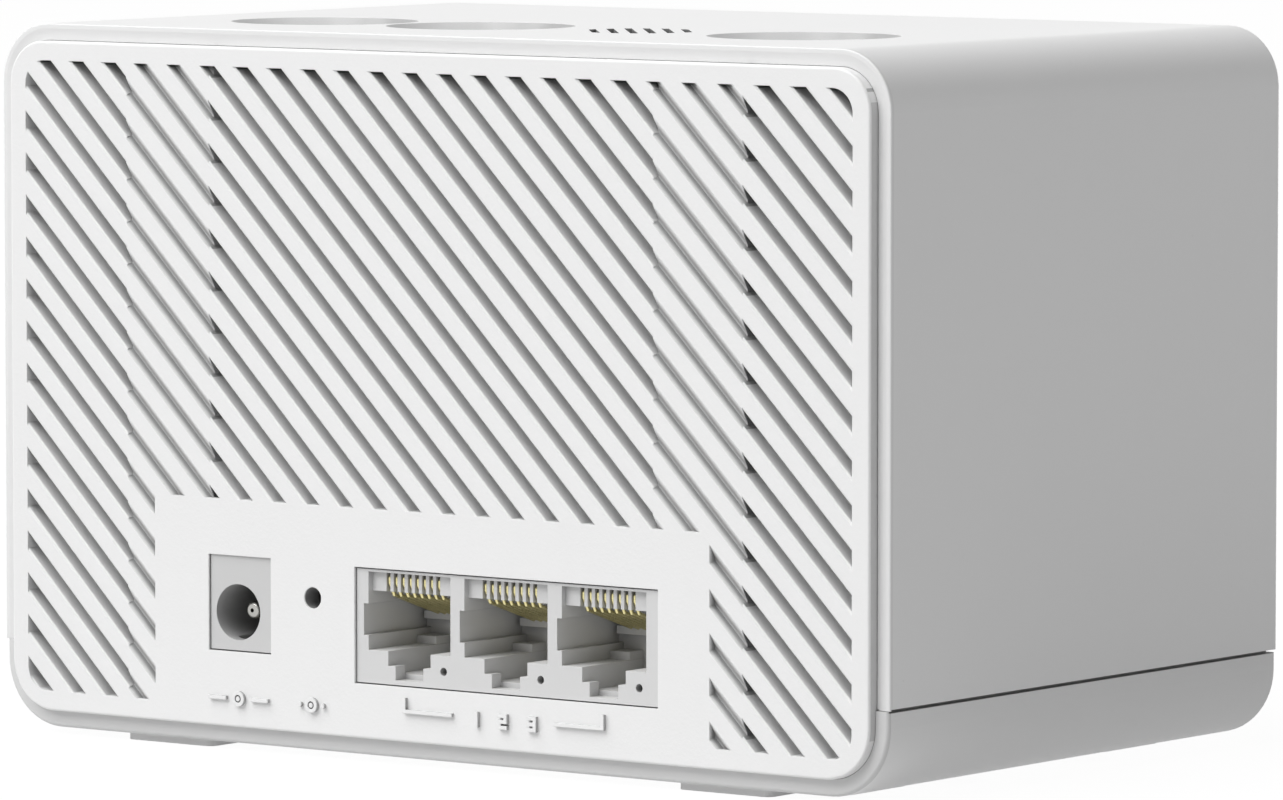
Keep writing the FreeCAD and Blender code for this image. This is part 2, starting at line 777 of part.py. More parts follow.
def feet_places():
    """Each foot's name, limits across, limits in depth, and corner radius."""
    places = []
    for side, sx in (("left", 1), ("right", -1)):
        for end, sy in (("rear", 1), ("front", -1)):
            x = f"({sx} * (body_width / 2 - foot_inset))"
            edge = RIM if sy > 0 else FRONT
            y = f"({edge} - {sy} * (foot_setback + foot_width / 2))"
            places.append((f"foot_{end}_{side}", (x, "foot_length"), (y, "foot_width"),
                           "foot_corner_radius"))
            x = f"({sx} * (body_width / 2 - side_foot_inset))"
            y = f"({edge} - {sy} * (side_foot_setback + side_foot_length / 2))"
            places.append((f"side_foot_{end}_{side}", (x, "side_foot_width"), (y, "side_foot_length"),
                           "foot_corner_radius"))
    return places


def foot_block(name, x, y, margin, low, high, radius):
    (middle_x, size_x), (middle_y, size_y) = x, y
    return round_block(name, f"{radius} + {margin}",
                       (f"{middle_x} - {size_x} / 2 - {margin}", f"{middle_x} + {size_x} / 2 + {margin}"),
                       (f"{middle_y} - {size_y} / 2 - {margin}", f"{middle_y} + {size_y} / 2 + {margin}"),
                       (low, f"{high} + foot_recess"), Z)


FEET = feet_places()


def make_feet():
    side_feet = []
    for name, x, y, radius in FEET:
        foot = foot_block(name, x, y, "0", "0", BOTTOM, radius)
        if name.startswith("side"):
            side_feet.append(foot)
        else:
            keep(name, foot)
    keep("side_feet", group("side_feet", *side_feet))


# ---------------------------------------------------------------- the rear panel

GRILLE_HALF = f"({PANEL_HALF} - grille_side_margin)"
GRILLE_LOW = f"({PANEL_LOW} + grille_bottom_margin)"
GRILLE_HIGH = f"({PANEL_HIGH} - grille_top_margin)"
WINDOW_LOW = "(foot_height + port_block_level)"
WINDOW_HIGH = f"({WINDOW_LOW} + port_block_height)"
POWER_LOW = "(foot_height + power_window_level)"
POWER_HIGH = f"({POWER_LOW} + power_window_height)"
RESET_AXIS = "(foot_height + reset_level)"


def slanted_bar(name, span, shallow, deep, depths):
    """A bar that runs along X; its lower and upper edges across are given at two depths."""
    bar = doc.addObject("Part::Wedge", name)
    for prop, size in (("Xmin", "0"), ("Xmax", span), ("X2min", "0"), ("X2max", span),
                       ("Ymin", "0"), ("Ymax", f"{depths[1]} - {depths[0]}"),
                       ("Zmin", deep[0]), ("Zmax", deep[1]), ("Z2min", shallow[0]), ("Z2max", shallow[1])):
        bind(bar, prop, size)
    return bar


def slot_bars(name, blind):
    """Slanted bars across the grille field: right through the plate, or blind with a ramped floor."""
    bars = []
    lip_low = f"({FACE} - slot_lip)"
    fall = f"({GRILLE_HIGH} - {GRILLE_LOW})"
    before = math.ceil(value(f"{fall} / slot_pitch"))
    after = math.ceil(value(f"2 * {GRILLE_HALF} / slot_pitch"))
    for index in range(-before, after):
        number = index + before
        long = f"({fall} * sqrt(2) + 2 * slot_overrun)"
        # The mouth of each slot widens a little, like a moulded edge that isn't sharp.
        if blind:
            floor = f"({FACE} - blind_strip_depth)"
            ramp = ("-slot_width * slot_lip / blind_strip_depth", "slot_width + slot_lip")
            parts = [(slanted_bar(f"{name}_{number}", long, ramp, ("slot_width - slot_lip", "slot_width"),
                                  (floor, f"({FACE} + slot_lip)")), floor)]
        else:
            inner = f"({PLATE_BACK} - overcut)"
            straight = ("0", "slot_width")
            flare = ("-slot_flare", "slot_width + slot_flare")
            parts = [(slanted_bar(f"{name}_{number}", long, straight, straight, (inner, lip_low)), inner),
                     (slanted_bar(f"{name}_lip_{number}", long, flare, straight,
                                  (lip_low, f"({FACE} + slot_lip)")), lip_low)]
        along_top = f"({GRILLE_HALF} - slot_start - {index} * slot_pitch)"
        for thing, start in parts:
            # Seen from the rear each slot falls to the right, so along -X.
            thing.Placement = Placement(Vector(), Rotation(Y, 135))
            place(thing, f"{along_top} + (slot_overrun - slot_width / 2) * sin(45)", start,
                  f"{GRILLE_HIGH} + (slot_overrun + slot_width / 2) * sin(45)")
            bars.append(thing)
    return group(name, *bars)


def make_rear_panel():
    body = new_body("panel_tray")
    outline = plane_sketch(body, "panel_outline", "XZ_Plane", f"-{FACE}")
    draw_rectangle(outline, f"-{PANEL_HALF}", PANEL_HALF, PANEL_LOW, PANEL_HIGH)
    pad(body, outline, "panel_depth")
    for word, radius, high in (("top", "corner_radius", True), ("bottom", "base_corner_radius", False)):
        dress(body, "Fillet", f"panel_{word}_corners",
              lambda edge: runs_along(edge, Y) and (edge.BoundBox.ZMin > value(SEAM)) == high
              and abs(edge.BoundBox.XMin) > value(PANEL_HALF) - 0.01,
              Radius=f"{radius} - {PANEL_MARGIN}")
    face_level = value(FACE)
    dress(body, "Fillet", "panel_edge", lambda edge: lies_at(edge, "y", face_level),
          Radius="panel_edge_radius")
    tray = plane_sketch(body, "panel_tray_inside", "XZ_Plane", f"-{PLATE_BACK}")
    draw_rounded_rectangle(tray, f"-({PANEL_HALF} - panel_skirt)", f"{PANEL_HALF} - panel_skirt",
                           f"{PANEL_LOW} + panel_skirt", f"{PANEL_HIGH} - panel_skirt",
                           f"corner_radius - {PANEL_MARGIN} - panel_skirt")
    pocket(body, tray, "panel_depth")
    windows = plane_sketch(body, "panel_windows", "XZ_Plane", f"-({FACE} + overcut)")
    draw_rectangle(windows, "port_block_x - port_block_width / 2", "port_block_x + port_block_width / 2",
                   WINDOW_LOW, WINDOW_HIGH)
    draw_rectangle(windows, "power_x - power_window_width / 2", "power_x + power_window_width / 2",
                   POWER_LOW, POWER_HIGH)
    draw_circle(windows, "reset_x", RESET_AXIS, "reset_hole_radius")
    pocket(body, windows, "panel_plate + 2 * overcut")

    extras = panel_hooks() + panel_marks()
    whole = join("panel_whole", body, *extras)

    field = round_block("grille_field", "grille_corner_radius", (f"-{GRILLE_HALF}", GRILLE_HALF),
                        (f"{PLATE_BACK} - overcut", f"{FACE} + overcut"), (GRILLE_LOW, GRILLE_HIGH), Y)
    sockets = block("socket_field", ("-socket_field_width / 2", "socket_field_width / 2"),
                    (f"{PLATE_BACK} - 2 * overcut", f"{FACE} + 2 * overcut"),
                    (f"{GRILLE_LOW} - overcut", f"{GRILLE_LOW} + socket_field_top"))
    strips = []
    for word, middle in (("left", "blind_strip_left"), ("right", "(-blind_strip_right)")):
        strips.append(block(f"blind_strip_{word}",
                            (f"{middle} - blind_strip_width / 2", f"{middle} + blind_strip_width / 2"),
                            (f"{PLATE_BACK} - 2 * overcut", f"{FACE} + 2 * overcut"),
                            (f"{GRILLE_LOW} - overcut", f"{GRILLE_HIGH} + overcut")))
    open_field = cut("open_field", field, sockets, *strips)
    blind_field = common("blind_field", cut("upper_field", field, sockets), group("blind_strips", *strips))
    slots = group("grille_slots", common("through_slots", slot_bars("slot_bar", False), open_field),
                  common("blind_slots", slot_bars("blind_bar", True), blind_field))
    return keep("rear_panel", cut("rear_panel", whole, slots))


def panel_hooks():
    """Snap hooks that reach forward past the stops of both shells."""
    hooks = []
    for level, inward in (("top", -1), ("bottom", 1)):
        skirt = PANEL_HIGH if inward < 0 else PANEL_LOW
        arm = (f"({skirt} + {inward} * panel_skirt)",
               f"({skirt} + {inward} * (panel_skirt + hook_thickness))")
        tip = (f"({skirt} + {inward} * hook_rise)", arm[1])
        order = (lambda pair: (pair[1], pair[0])) if inward < 0 else (lambda pair: pair)
        front = f"({PANEL_SEAT} - hook_reach)"
        for word, sx in (("left", 1), ("right", -1)):
            centre = f"({sx} * stop_spacing / 2)"
            across = (f"{centre} - hook_width / 2", f"{centre} + hook_width / 2")
            hooks.append(block(f"hook_arm_{level}_{word}", across, (front, PLATE_BACK), order(arm)))
            hooks.append(block(f"hook_barb_{level}_{word}", across, (front, f"{front} + hook_barb"),
                               order(tip)))
    return hooks


def stroke(name, x0, x1, z0, z1):
    """A raised bar of the marks; half of its depth is sunk in the plate."""
    return block(name, (x0, x1), (f"{FACE} - mark_height", f"{FACE} + mark_height"), (z0, z1))


MARK_LOW = f"({PANEL_LOW} + mark_level - mark_size / 2)"
MARK_HIGH = f"({PANEL_LOW} + mark_level + mark_size / 2)"
MARK_MIDDLE = f"({PANEL_LOW} + mark_level)"


def digit(name, middle, bars):
    """A raised numeral made of straight bars; it reads from the rear."""
    left, right = f"({middle} + numeral_width / 2)", f"({middle} - numeral_width / 2)"
    spans = {
        "top": (right, left, f"{MARK_HIGH} - mark_stroke", MARK_HIGH),
        "middle": (right, left, f"{MARK_MIDDLE} - mark_stroke / 2", f"{MARK_MIDDLE} + mark_stroke / 2"),
        "bottom": (right, left, MARK_LOW, f"{MARK_LOW} + mark_stroke"),
        "upper_right": (right, f"{right} + mark_stroke", MARK_MIDDLE, MARK_HIGH),
        "lower_right": (right, f"{right} + mark_stroke", MARK_LOW, MARK_MIDDLE),
        "lower_left": (f"{left} - mark_stroke", left, MARK_LOW, MARK_MIDDLE),
    }
    return [stroke(f"{name}_{bar}", *spans[bar]) for bar in bars]


def panel_marks():
    """Raised marks under the sockets: plain numerals, a bracket, and two plain signs."""
    marks = []
    one = ["upper_right", "lower_right"]
    two = ["top", "upper_right", "middle", "lower_left", "bottom"]
    three = ["top", "upper_right", "middle", "lower_right", "bottom"]
    for index, bars in enumerate((one, two, three)):
        middle = f"(port_block_x + {1 - index} * numeral_pitch)"
        marks += digit(f"numeral_{index + 1}", middle, bars)
    for word, sx in (("left", 1), ("right", -1)):
        outer = f"(port_block_x + {sx} * bracket_half)"
        inner = f"({outer} - {sx} * bracket_reach)"
        tick = f"({outer} - {sx} * mark_stroke)"
        flat, upright = ((inner, outer), (tick, outer)) if sx > 0 else ((outer, inner), (outer, tick))
        marks.append(stroke(f"bracket_{word}", *flat, MARK_MIDDLE, f"{MARK_MIDDLE} + mark_stroke"))
        marks.append(stroke(f"bracket_tick_{word}", *upright, MARK_MIDDLE, f"{MARK_MIDDLE} + mark_size"))
    # Under the power socket: a ring and a dot between two short bars.
    marks += ring_mark("power_sign", "power_x")
    for word, sx in (("left", 1), ("right", -1)):
        near, far = (f"(power_x + {sx} * {end})" for end in ("sign_bar_start", "sign_bar_end"))
        span = (near, far) if sx > 0 else (far, near)
        marks.append(stroke(f"power_bar_{word}", *span, f"{MARK_MIDDLE} - mark_stroke / 2",
                            f"{MARK_MIDDLE} + mark_stroke / 2"))
    # Under the reset pinhole: a ring between two dots.
    marks += ring_mark("reset_sign", "reset_x")
    for word, sx in (("left", 1), ("right", -1)):
        marks.append(rod(f"reset_dot_{word}", "sign_dot_radius", "2 * mark_height",
                         f"(reset_x + {sx} * sign_dot_pitch)", f"{FACE} - mark_height", MARK_MIDDLE, "y"))
    return marks


def ring_mark(name, x):
    depth = "2 * mark_height"
    start = f"{FACE} - mark_height"
    outer = rod(f"{name}_outer", "mark_size / 2", depth, x, start, MARK_MIDDLE, "y")
    inner = rod(f"{name}_inner", "mark_size / 2 - mark_stroke", f"{depth} + 2 * overcut", x,
                f"{start} - overcut", MARK_MIDDLE, "y")
    dot = rod(f"{name}_dot", "sign_dot_radius", depth, x, start, MARK_MIDDLE, "y")
    return [cut(f"{name}_ring", outer, inner), dot]


# ---------------------------------------------------------------- sockets and the switch

PORT_FACE = f"({FACE} - port_face_setback)"
PORT_TOP = WINDOW_HIGH


def port_cutter(name, x):
    """The stepped opening of one network socket, wide at the top and keyed below."""
    half = "port_mouth_width / 2"
    back = f"({PORT_FACE} - port_depth)"
    mouth = f"{PORT_FACE} + overcut"

    def level(drop):
        return f"({PORT_TOP} - {drop})"

    def slab(part, left, right, top, bottom, rear=back, front=mouth):
        # "left" and "right" are as seen from the rear, so left is towards +X.
        return block(f"{name}_{part}", (f"{x} - {right}", f"{x} + {left}"), (rear, front),
                     (level(bottom), level(top)))

    lip = f"({PORT_FACE} - port_lip_depth)"
    plate = f"({PORT_FACE} - key_plate)"
    return [
        slab("lip", half, half, "port_top_wall", "port_bridge", lip),
        slab("throat", half, half, "port_bridge", "port_wide_top"),
        slab("wide", f"{half} + port_side_relief", half, "port_wide_top", "port_wide_bottom"),
        slab("floor", half, half, "port_wide_bottom", "port_floor"),
        slab("key", "key_wide / 2", "key_wide / 2", "port_floor", "key_wide_bottom"),
        slab("key_room", "key_wide / 2", "key_wide / 2", "key_wide_bottom", "key_room_bottom",
             front=plate),
        slab("key_end", "key_narrow / 2", "key_narrow / 2", "key_wide_bottom", "key_bottom", plate),
        rod(f"{name}_indicator", "indicator_hole_radius", "indicator_hole_depth + overcut",
            f"{x} - indicator_hole_x", f"{PORT_FACE} - indicator_hole_depth",
            f"{WINDOW_LOW} + indicator_hole_level", "y"),
    ]


def port_stops(name, x):
    """What stops the plug: a low block at each side of the floor, and a rib on the back wall."""
    half = "port_mouth_width / 2"
    back = f"({PORT_FACE} - port_depth)"
    floor = f"({PORT_TOP} - port_floor)"
    root = "fit_gap"
    rib_high = f"({PORT_TOP} - port_rib_top)"
    parts = [block(f"{name}_rib", (f"{x} - {half} - {root}", f"{x} + {half} + {root}"),
                   (f"{back} - {root}", f"{back} + port_rib_length"),
                   (f"{rib_high} - port_rib_height", rib_high))]
    for word, sx in (("left", 1), ("right", -1)):
        wall = f"({x} + {sx} * ({half} + {root}))"
        end = f"({x} + {sx} * ({half} - port_stop_width))"
        limits = (end, wall) if sx > 0 else (wall, end)
        parts.append(block(f"{name}_stop_{word}", limits, (f"{back} - {root}", f"{back} + port_stop_length"),
                           (f"{floor} - {root}", f"{floor} + port_stop_height")))
    return parts


def port_centres():
    return [f"(port_block_x + {step} * port_pitch)" for step in (1, 0, -1)]


def contact_xs(x):
    return [f"({x} + {step - 3.5} * contact_pitch)" for step in range(8)]


def make_network_block():
    gap = "port_window_gap"
    half = f"(port_block_width / 2 - {gap})"
    housing = block("port_housing", (f"port_block_x - {half}", f"port_block_x + {half}"),
                    (f"{PORT_FACE} - port_block_depth", PORT_FACE),
                    (f"{WINDOW_LOW} + {gap}", f"{WINDOW_HIGH} - {gap}"))
    # Low pads on its top hold the block off the board.
    pads = []
    for end, sx in (("left", 1), ("right", -1)):
        x = f"(port_block_x + {sx} * port_pitch)"
        pads.append(rod(f"port_standoff_{end}", "standoff_radius",
                        f"{BOARD_LOW} - {WINDOW_HIGH} + standoff_root", x,
                        f"{PORT_FACE} - port_block_depth + standoff_inset",
                        f"{WINDOW_HIGH} - standoff_root"))
    whole = join("port_housing_whole", housing, *pads)
    comb = f"{PORT_FACE} - port_lip_depth"
    tools, stops = [], []
    for port, x in enumerate(port_centres(), start=1):
        tools += port_cutter(f"port_{port}", x)
        stops += port_stops(f"port_{port}", x)
        for wire, wire_x in enumerate(contact_xs(x)):
            tools.append(block(f"groove_{port}_{wire}",
                               (f"{wire_x} - contact_groove / 2", f"{wire_x} + contact_groove / 2"),
                               (f"{comb} - contact_groove_depth", f"{comb} + overcut"),
                               (f"{PORT_TOP} - port_bridge - contact_radius",
                                f"{PORT_TOP} - port_top_wall")))
    keep("ethernet_jack", join("ethernet_jack", cut("port_housing_cut", whole, *tools), *stops))
    make_contacts()


def bent_rod(points, radius):
    """A round rod through the points, with a ball at each bend."""
    solids = []
    for start, end in zip(points, points[1:]):
        solids.append(Part.makeCylinder(radius, (end - start).Length, start, end - start))
    balls = [Part.makeSphere(radius, point) for point in points[1:-1]]
    return solids[0].fuse(solids[1:] + balls).removeSplitter()


def make_contacts():
    """Gold wires: each bulges forward in its groove of the comb, then slants back into the socket."""
    radius = value("contact_radius")
    comb = f"{PORT_FACE} - port_lip_depth"
    crest = value(f"{comb} - contact_radius - contact_crest_sink")
    deep = value(f"{comb} - contact_inset")
    top = value(f"{PORT_TOP} - port_top_wall - contact_top_gap")
    crest_low = value(f"{PORT_TOP} - contact_crest - contact_crest_height / 2")
    crest_high = value(f"{PORT_TOP} - contact_crest + contact_crest_height / 2")
    bend = value(f"{PORT_TOP} - port_bridge - contact_radius - contact_tuck")
    run, drop = value("contact_run"), value("contact_drop")
    wires = []
    for x in port_centres():
        for wire_x in contact_xs(x):
            at = value(wire_x)
            points = [Vector(at, deep, top), Vector(at, crest, crest_high), Vector(at, crest, crest_low),
                      Vector(at, deep, bend), Vector(at, deep - run, bend - drop)]
            wires.append(bent_rod(points, radius))
    feature = doc.addObject("Part::Feature", "ethernet_contacts")
    feature.Shape = Part.makeCompound(wires)
    keep("ethernet_contacts", feature)


def make_power_socket():
    face = f"({FACE} - power_setback)"
    gap = "fit_gap"
    window_gap = "power_window_gap"
    half = f"(power_window_width / 2 - {window_gap})"
    axis_x = "(power_x + power_bore_shift)"
    axis_z = "(foot_height + power_bore_level)"
    bore_end = f"({face} - power_bore_depth)"
    housing = block("power_housing", (f"power_x - {half}", f"power_x + {half}"),
                    (f"{face} - power_body_depth", face), (f"{POWER_LOW} + {window_gap}", BOARD_LOW))
    slot_low = f"({axis_z} - power_bore_radius - power_slot_depth)"
    spring_half = "(power_spring_width / 2)"
    tools = [
        rod("power_bore", "power_bore_radius", "power_bore_depth + overcut", axis_x, bore_end,
            axis_z, "y"),
        rod("power_pin_seat", "power_pin_radius + thread_clearance", "power_pin_root + overcut", axis_x,
            f"{bore_end} - power_pin_root", axis_z, "y"),
        block("power_slot", (f"{axis_x} - {spring_half} - {gap}", f"{axis_x} + {spring_half} + {gap}"),
              (bore_end, f"{face} - power_slot_setback"), (slot_low, axis_z)),
    ]
    keep("power_jack_body", cut("power_jack_body", housing, *tools))

    pin_length = "(power_bore_depth - power_pin_setback + power_pin_root)"
    pin = rod("power_pin", "power_pin_radius", pin_length, axis_x, f"{bore_end} - power_pin_root",
              axis_z, "y")
    doc.recompute()
    tip = value(f"{face} - power_pin_setback")
    round_pin = doc.addObject("Part::Fillet", "power_pin_round")
    round_pin.Base = pin
    round_pin.Edges = [(number, value("power_pin_tip_radius"), value("power_pin_tip_radius"))
                       for number, edge in enumerate(pin.Shape.Edges, start=1) if lies_at(edge, "y", tip)]
    hollow = rod("power_pin_hollow", "power_pin_hollow_radius", "power_pin_hollow_depth + overcut",
                 axis_x, f"{face} - power_pin_setback - power_pin_hollow_depth", axis_z, "y")
    keep("power_jack_pin", cut("power_jack_pin", round_pin, hollow))

    across = (f"{axis_x} - {spring_half}", f"{axis_x} + {spring_half}")
    leaf = block("power_leaf", across, (bore_end, f"{face} - power_spring_setback"),
                 (slot_low, f"{slot_low} + power_spring_thickness"))
    crown = block("power_leaf_crown", across,
                  (f"{bore_end} + power_crown_start",
                   f"{bore_end} + power_crown_start + power_crown_length"),
                  (slot_low, f"{slot_low} + power_slot_depth + power_spring_thickness"))
    keep("power_jack_spring", join("power_jack_spring", leaf, crown))


CASE_REAR = BOARD_REAR
CASE_FRONT = f"({BOARD_REAR} - reset_case_depth)"


def make_reset_switch():
    """A side-acting push switch that hangs under the board behind the pinhole."""
    case = block("reset_case", ("reset_x - reset_case_width / 2", "reset_x + reset_case_width / 2"),
                 (CASE_FRONT, CASE_REAR), (f"{RESET_AXIS} - reset_case_below", BOARD_LOW))
    chamber = rod("reset_chamber", "reset_chamber_radius", "reset_case_depth - 2 * reset_wall",
                  "reset_x", f"{CASE_FRONT} + reset_wall", RESET_AXIS, "y")
    mouth = rod("reset_mouth", "reset_stem_radius + reset_running_gap", "reset_wall + 2 * overcut",
                "reset_x", f"{CASE_REAR} - reset_wall - overcut", RESET_AXIS, "y")
    keep("reset_switch_body", cut("reset_switch_body", case, chamber, mouth))

    seat = f"({CASE_REAR} - reset_wall - reset_running_gap)"
    flange_front = f"({seat} - reset_flange_thickness)"
    stem = rod("reset_stem", "reset_stem_radius", "reset_wall + reset_running_gap + reset_stem_length",
               "reset_x", seat, RESET_AXIS, "y")
    flange = rod("reset_flange", "reset_flange_radius", "reset_flange_thickness", "reset_x",
                 flange_front, RESET_AXIS, "y")
    nub = rod("reset_nub", "reset_nub_radius", "reset_nub_length", "reset_x",
              f"{flange_front} - reset_nub_length", RESET_AXIS, "y")
    keep("reset_button", join("reset_button", stem, flange, nub))

    dome_base = f"({CASE_FRONT} + reset_wall)"
    skin = "reset_dome_thickness"
    outer = dome_cone("reset_dome_outer", "reset_dome_radius", "reset_dome_top_radius",
                      "reset_dome_height", dome_base)
    inner = dome_cone("reset_dome_inner", f"reset_dome_radius - 2 * {skin}", "reset_dome_top_radius",
                      f"reset_dome_height - {skin}", dome_base)
    keep("reset_dome", cut("reset_dome", outer, inner))


def dome_cone(name, wide, narrow, height, y):
    cone = doc.addObject("Part::Cone", name)
    bind(cone, "Radius1", wide)
    bind(cone, "Radius2", narrow)
    bind(cone, "Height", height)
    cone.Placement = Placement(Vector(), TURN_TO["y"])
    place(cone, "reset_x", y, RESET_AXIS)
    return cone


# ---------------------------------------------------------------- the board and what is on it

PIN_SPOTS = (("rear", 1, 1), ("front", -1, -1))
SINK_LOW = f"({BOARD_HIGH} + processor_height + pad_thickness)"
SINK_Y = f"({BOARD_REAR} - transformer_setback - sink_gap - sink_length / 2)"
SHIELD_X = "(shield_inset - board_width / 2)"
SHIELD_Y = f"({SINK_Y} - shield_shift)"


def pin_place(sx, sy):
    return (f"({sx} * (sink_width / 2 - sink_pin_margin))",
            f"({sy} * (sink_length / 2 - sink_pin_margin) + {SINK_Y})")


def make_main_board():
    body = new_body("board")
    outline = plane_sketch(body, "board_outline", "XY_Plane", BOARD_LOW)
    draw_rectangle(outline, "-board_width / 2", "board_width / 2", BOARD_FRONT, BOARD_REAR)
    pad(body, outline, "board_thickness")
    dress(body, "Fillet", "board_corners", lambda edge: runs_along(edge, Z), Radius="board_corner_radius")
    holes = plane_sketch(body, "board_holes", "XY_Plane", f"{BOARD_LOW} - overcut")
    for _, x, y in POSTS:
        draw_circle(holes, x, y, "board_screw_radius + screw_clearance")
    for _, sx, sy in PIN_SPOTS:
        draw_circle(holes, *pin_place(sx, sy), "sink_pin_radius + sink_pin_gap")
    pocket(body, holes, "board_thickness + 2 * overcut")
    keep("main_board", body)


def chip(name, x, y, width, length, height):
    """A flat package that sits on the board about a point."""
    return block(name, (f"{x} - {width} / 2", f"{x} + {width} / 2"),
                 (f"{y} - {length} / 2", f"{y} + {length} / 2"), (BOARD_HIGH, f"{BOARD_HIGH} + {height}"))


def make_chips():
    keep("processor", chip("processor", "0", SINK_Y, "processor_size", "processor_size",
                           "processor_height"))
    pad_half = "processor_size / 2"
    keep("thermal_pad", block("thermal_pad", (f"-{pad_half}", pad_half),
                              (f"{SINK_Y} - {pad_half}", f"{SINK_Y} + {pad_half}"),
                              (f"{BOARD_HIGH} + processor_height", SINK_LOW)))
    memory = [chip(f"memory_{word}", f"({sx} * memory_spacing / 2)", f"({SINK_Y} + memory_shift)",
                   "memory_width", "memory_length", "chip_height")
              for word, sx in (("left", 1), ("right", -1))]
    keep("memory_chips", group("memory_chips", *memory))
    keep("flash_chip", chip("flash_chip", "0", f"({SINK_Y} - flash_shift)", "flash_width",
                            "flash_length", "chip_height"))
    keep("switch_chip", chip("switch_chip", "-switch_shift_x", f"({SINK_Y} + switch_shift)",
                             "switch_width", "switch_length", "chip_height"))
    rear = f"({BOARD_REAR} - transformer_setback + transformer_length / 2)"
    transformers = [chip(f"transformer_{index}", x, rear, "transformer_width", "transformer_length",
                         "transformer_height") for index, x in enumerate(port_centres(), start=1)]
    keep("ethernet_transformers", group("ethernet_transformers", *transformers))
    coils = [chip(f"coil_{index}", f"(power_x + {index} * coil_pitch)", f"({BOARD_REAR} - coil_setback)",
                  "coil_size", "coil_size", "coil_height") for index in range(2)]
    keep("power_coils", group("power_coils", *coils))
    capacitors = [rod(f"capacitor_{index}", "capacitor_radius", "capacitor_height",
                      f"(power_x + {index - 1} * capacitor_pitch)", f"{BOARD_REAR} - capacitor_setback",
                      BOARD_HIGH) for index in range(3)]
    keep("capacitors", group("capacitors", *capacitors))


def make_shield():
    """A sheet-metal frame on the board with a lid pressed over it, round the radio chips."""
    half_x, half_y = "shield_width / 2", "shield_length / 2"

    def shell(name, grow, low, high):
        return block(name, (f"{SHIELD_X} - {half_x} - {grow}", f"{SHIELD_X} + {half_x} + {grow}"),
                     (f"{SHIELD_Y} - {half_y} - {grow}", f"{SHIELD_Y} + {half_y} + {grow}"), (low, high))

    top = f"({BOARD_HIGH} + shield_height)"
    wall = "shield_wall"
    frame = cut("shield_frame", shell("frame_outside", "0", BOARD_HIGH, top),
                shell("frame_inside", f"(-{wall})", f"{BOARD_HIGH} - overcut", f"{top} + overcut"))
    keep("shield_frame", frame)
    skirt_low = f"({BOARD_HIGH} + shield_height / 3)"
    lid = cut("shield_lid", shell("lid_outside", f"({wall} + shield_fit)", skirt_low, f"{top} + {wall}"),
              shell("lid_inside", "shield_fit", f"{skirt_low} - overcut", top))
    keep("shield_lid", lid)
    radios = [chip(f"radio_{index}", SHIELD_X, f"({SHIELD_Y} + {sy} * shield_length / 4)", "radio_size",
                   "radio_size", "chip_height") for index, sy in enumerate((1, -1))]
    keep("radio_chips", group("radio_chips", *radios))


def make_heat_sink():
    body = new_body("sink")
    plate = plane_sketch(body, "sink_plate", "XY_Plane", SINK_LOW)
    half_x, half_y = "sink_width / 2", "sink_length / 2"
    draw_rectangle(plate, f"-{half_x}", half_x, f"{SINK_Y} - {half_y}", f"{SINK_Y} + {half_y}")
    pad(body, plate, "sink_base")
    fin_sketch = plane_sketch(body, "sink_fin", "XY_Plane", f"{SINK_LOW} + sink_base")
    fin_half = f"({half_y} - sink_fin_margin)"
    draw_rectangle(fin_sketch, f"-{half_x}", f"-{half_x} + sink_fin_thickness",
                   f"{SINK_Y} - {fin_half}", f"{SINK_Y} + {fin_half}")
    fin = pad(body, fin_sketch, "sink_fin_height")
    count = math.floor(value("(sink_width - sink_fin_thickness) / sink_fin_pitch")) + 1
    pattern(body, fin, "sink_fins", "X_Axis", f"{count - 1} * sink_fin_pitch", count)
    doc.recompute()
    holes = plane_sketch(body, "sink_holes", "XY_Plane", f"{SINK_LOW} - overcut")
    for _, sx, sy in PIN_SPOTS:
        draw_circle(holes, *pin_place(sx, sy), "sink_pin_radius + sink_pin_gap")
    pocket(body, holes, "sink_base + 2 * overcut")
    keep("heat_sink", body)

    pins = []
    for word, sx, sy in PIN_SPOTS:
        x, y = pin_place(sx, sy)
        head_low = f"({SINK_LOW} + sink_base)"
        shaft_low = f"({BOARD_LOW} - sink_pin_barb_height)"
        shaft = rod(f"sink_pin_shaft_{word}", "sink_pin_radius", f"{head_low} - {shaft_low}", x, y,
                    shaft_low)
        head = rod(f"sink_pin_head_{word}", "sink_pin_head_radius", "sink_pin_head_height", x, y, head_low)
        barb = rod(f"sink_pin_barb_{word}", "sink_pin_barb_radius", "sink_pin_barb_height", x, y, shaft_low)
        pins.append(join(f"sink_pin_{word}", shaft, head, barb))
    keep("heat_sink_pins", group("heat_sink_pins", *pins))


def make_status_light():
    keep("status_led", chip("status_led", "0", f"({BOARD_FRONT} + led_length)", "led_width", "led_length",
                            "led_height"))
    gap = "guide_pocket_gap"
    bar = block("guide_bar", ("-guide_width / 2", "guide_width / 2"),
                (FRONT, f"{BOARD_FRONT} + guide_overlap"), (BOARD_HIGH, f"{BOARD_HIGH} + guide_height"))
    room = block("guide_pocket", (f"-led_width / 2 - {gap}", f"led_width / 2 + {gap}"),
                 (f"{BOARD_FRONT} + led_length / 2 - {gap}", f"{BOARD_FRONT} + guide_overlap + overcut"),
                 (f"{BOARD_HIGH} - overcut", f"{BOARD_HIGH} + led_height + {gap}"))
    keep("light_guide", cut("light_guide", bar, room))


# ---------------------------------------------------------------- screws

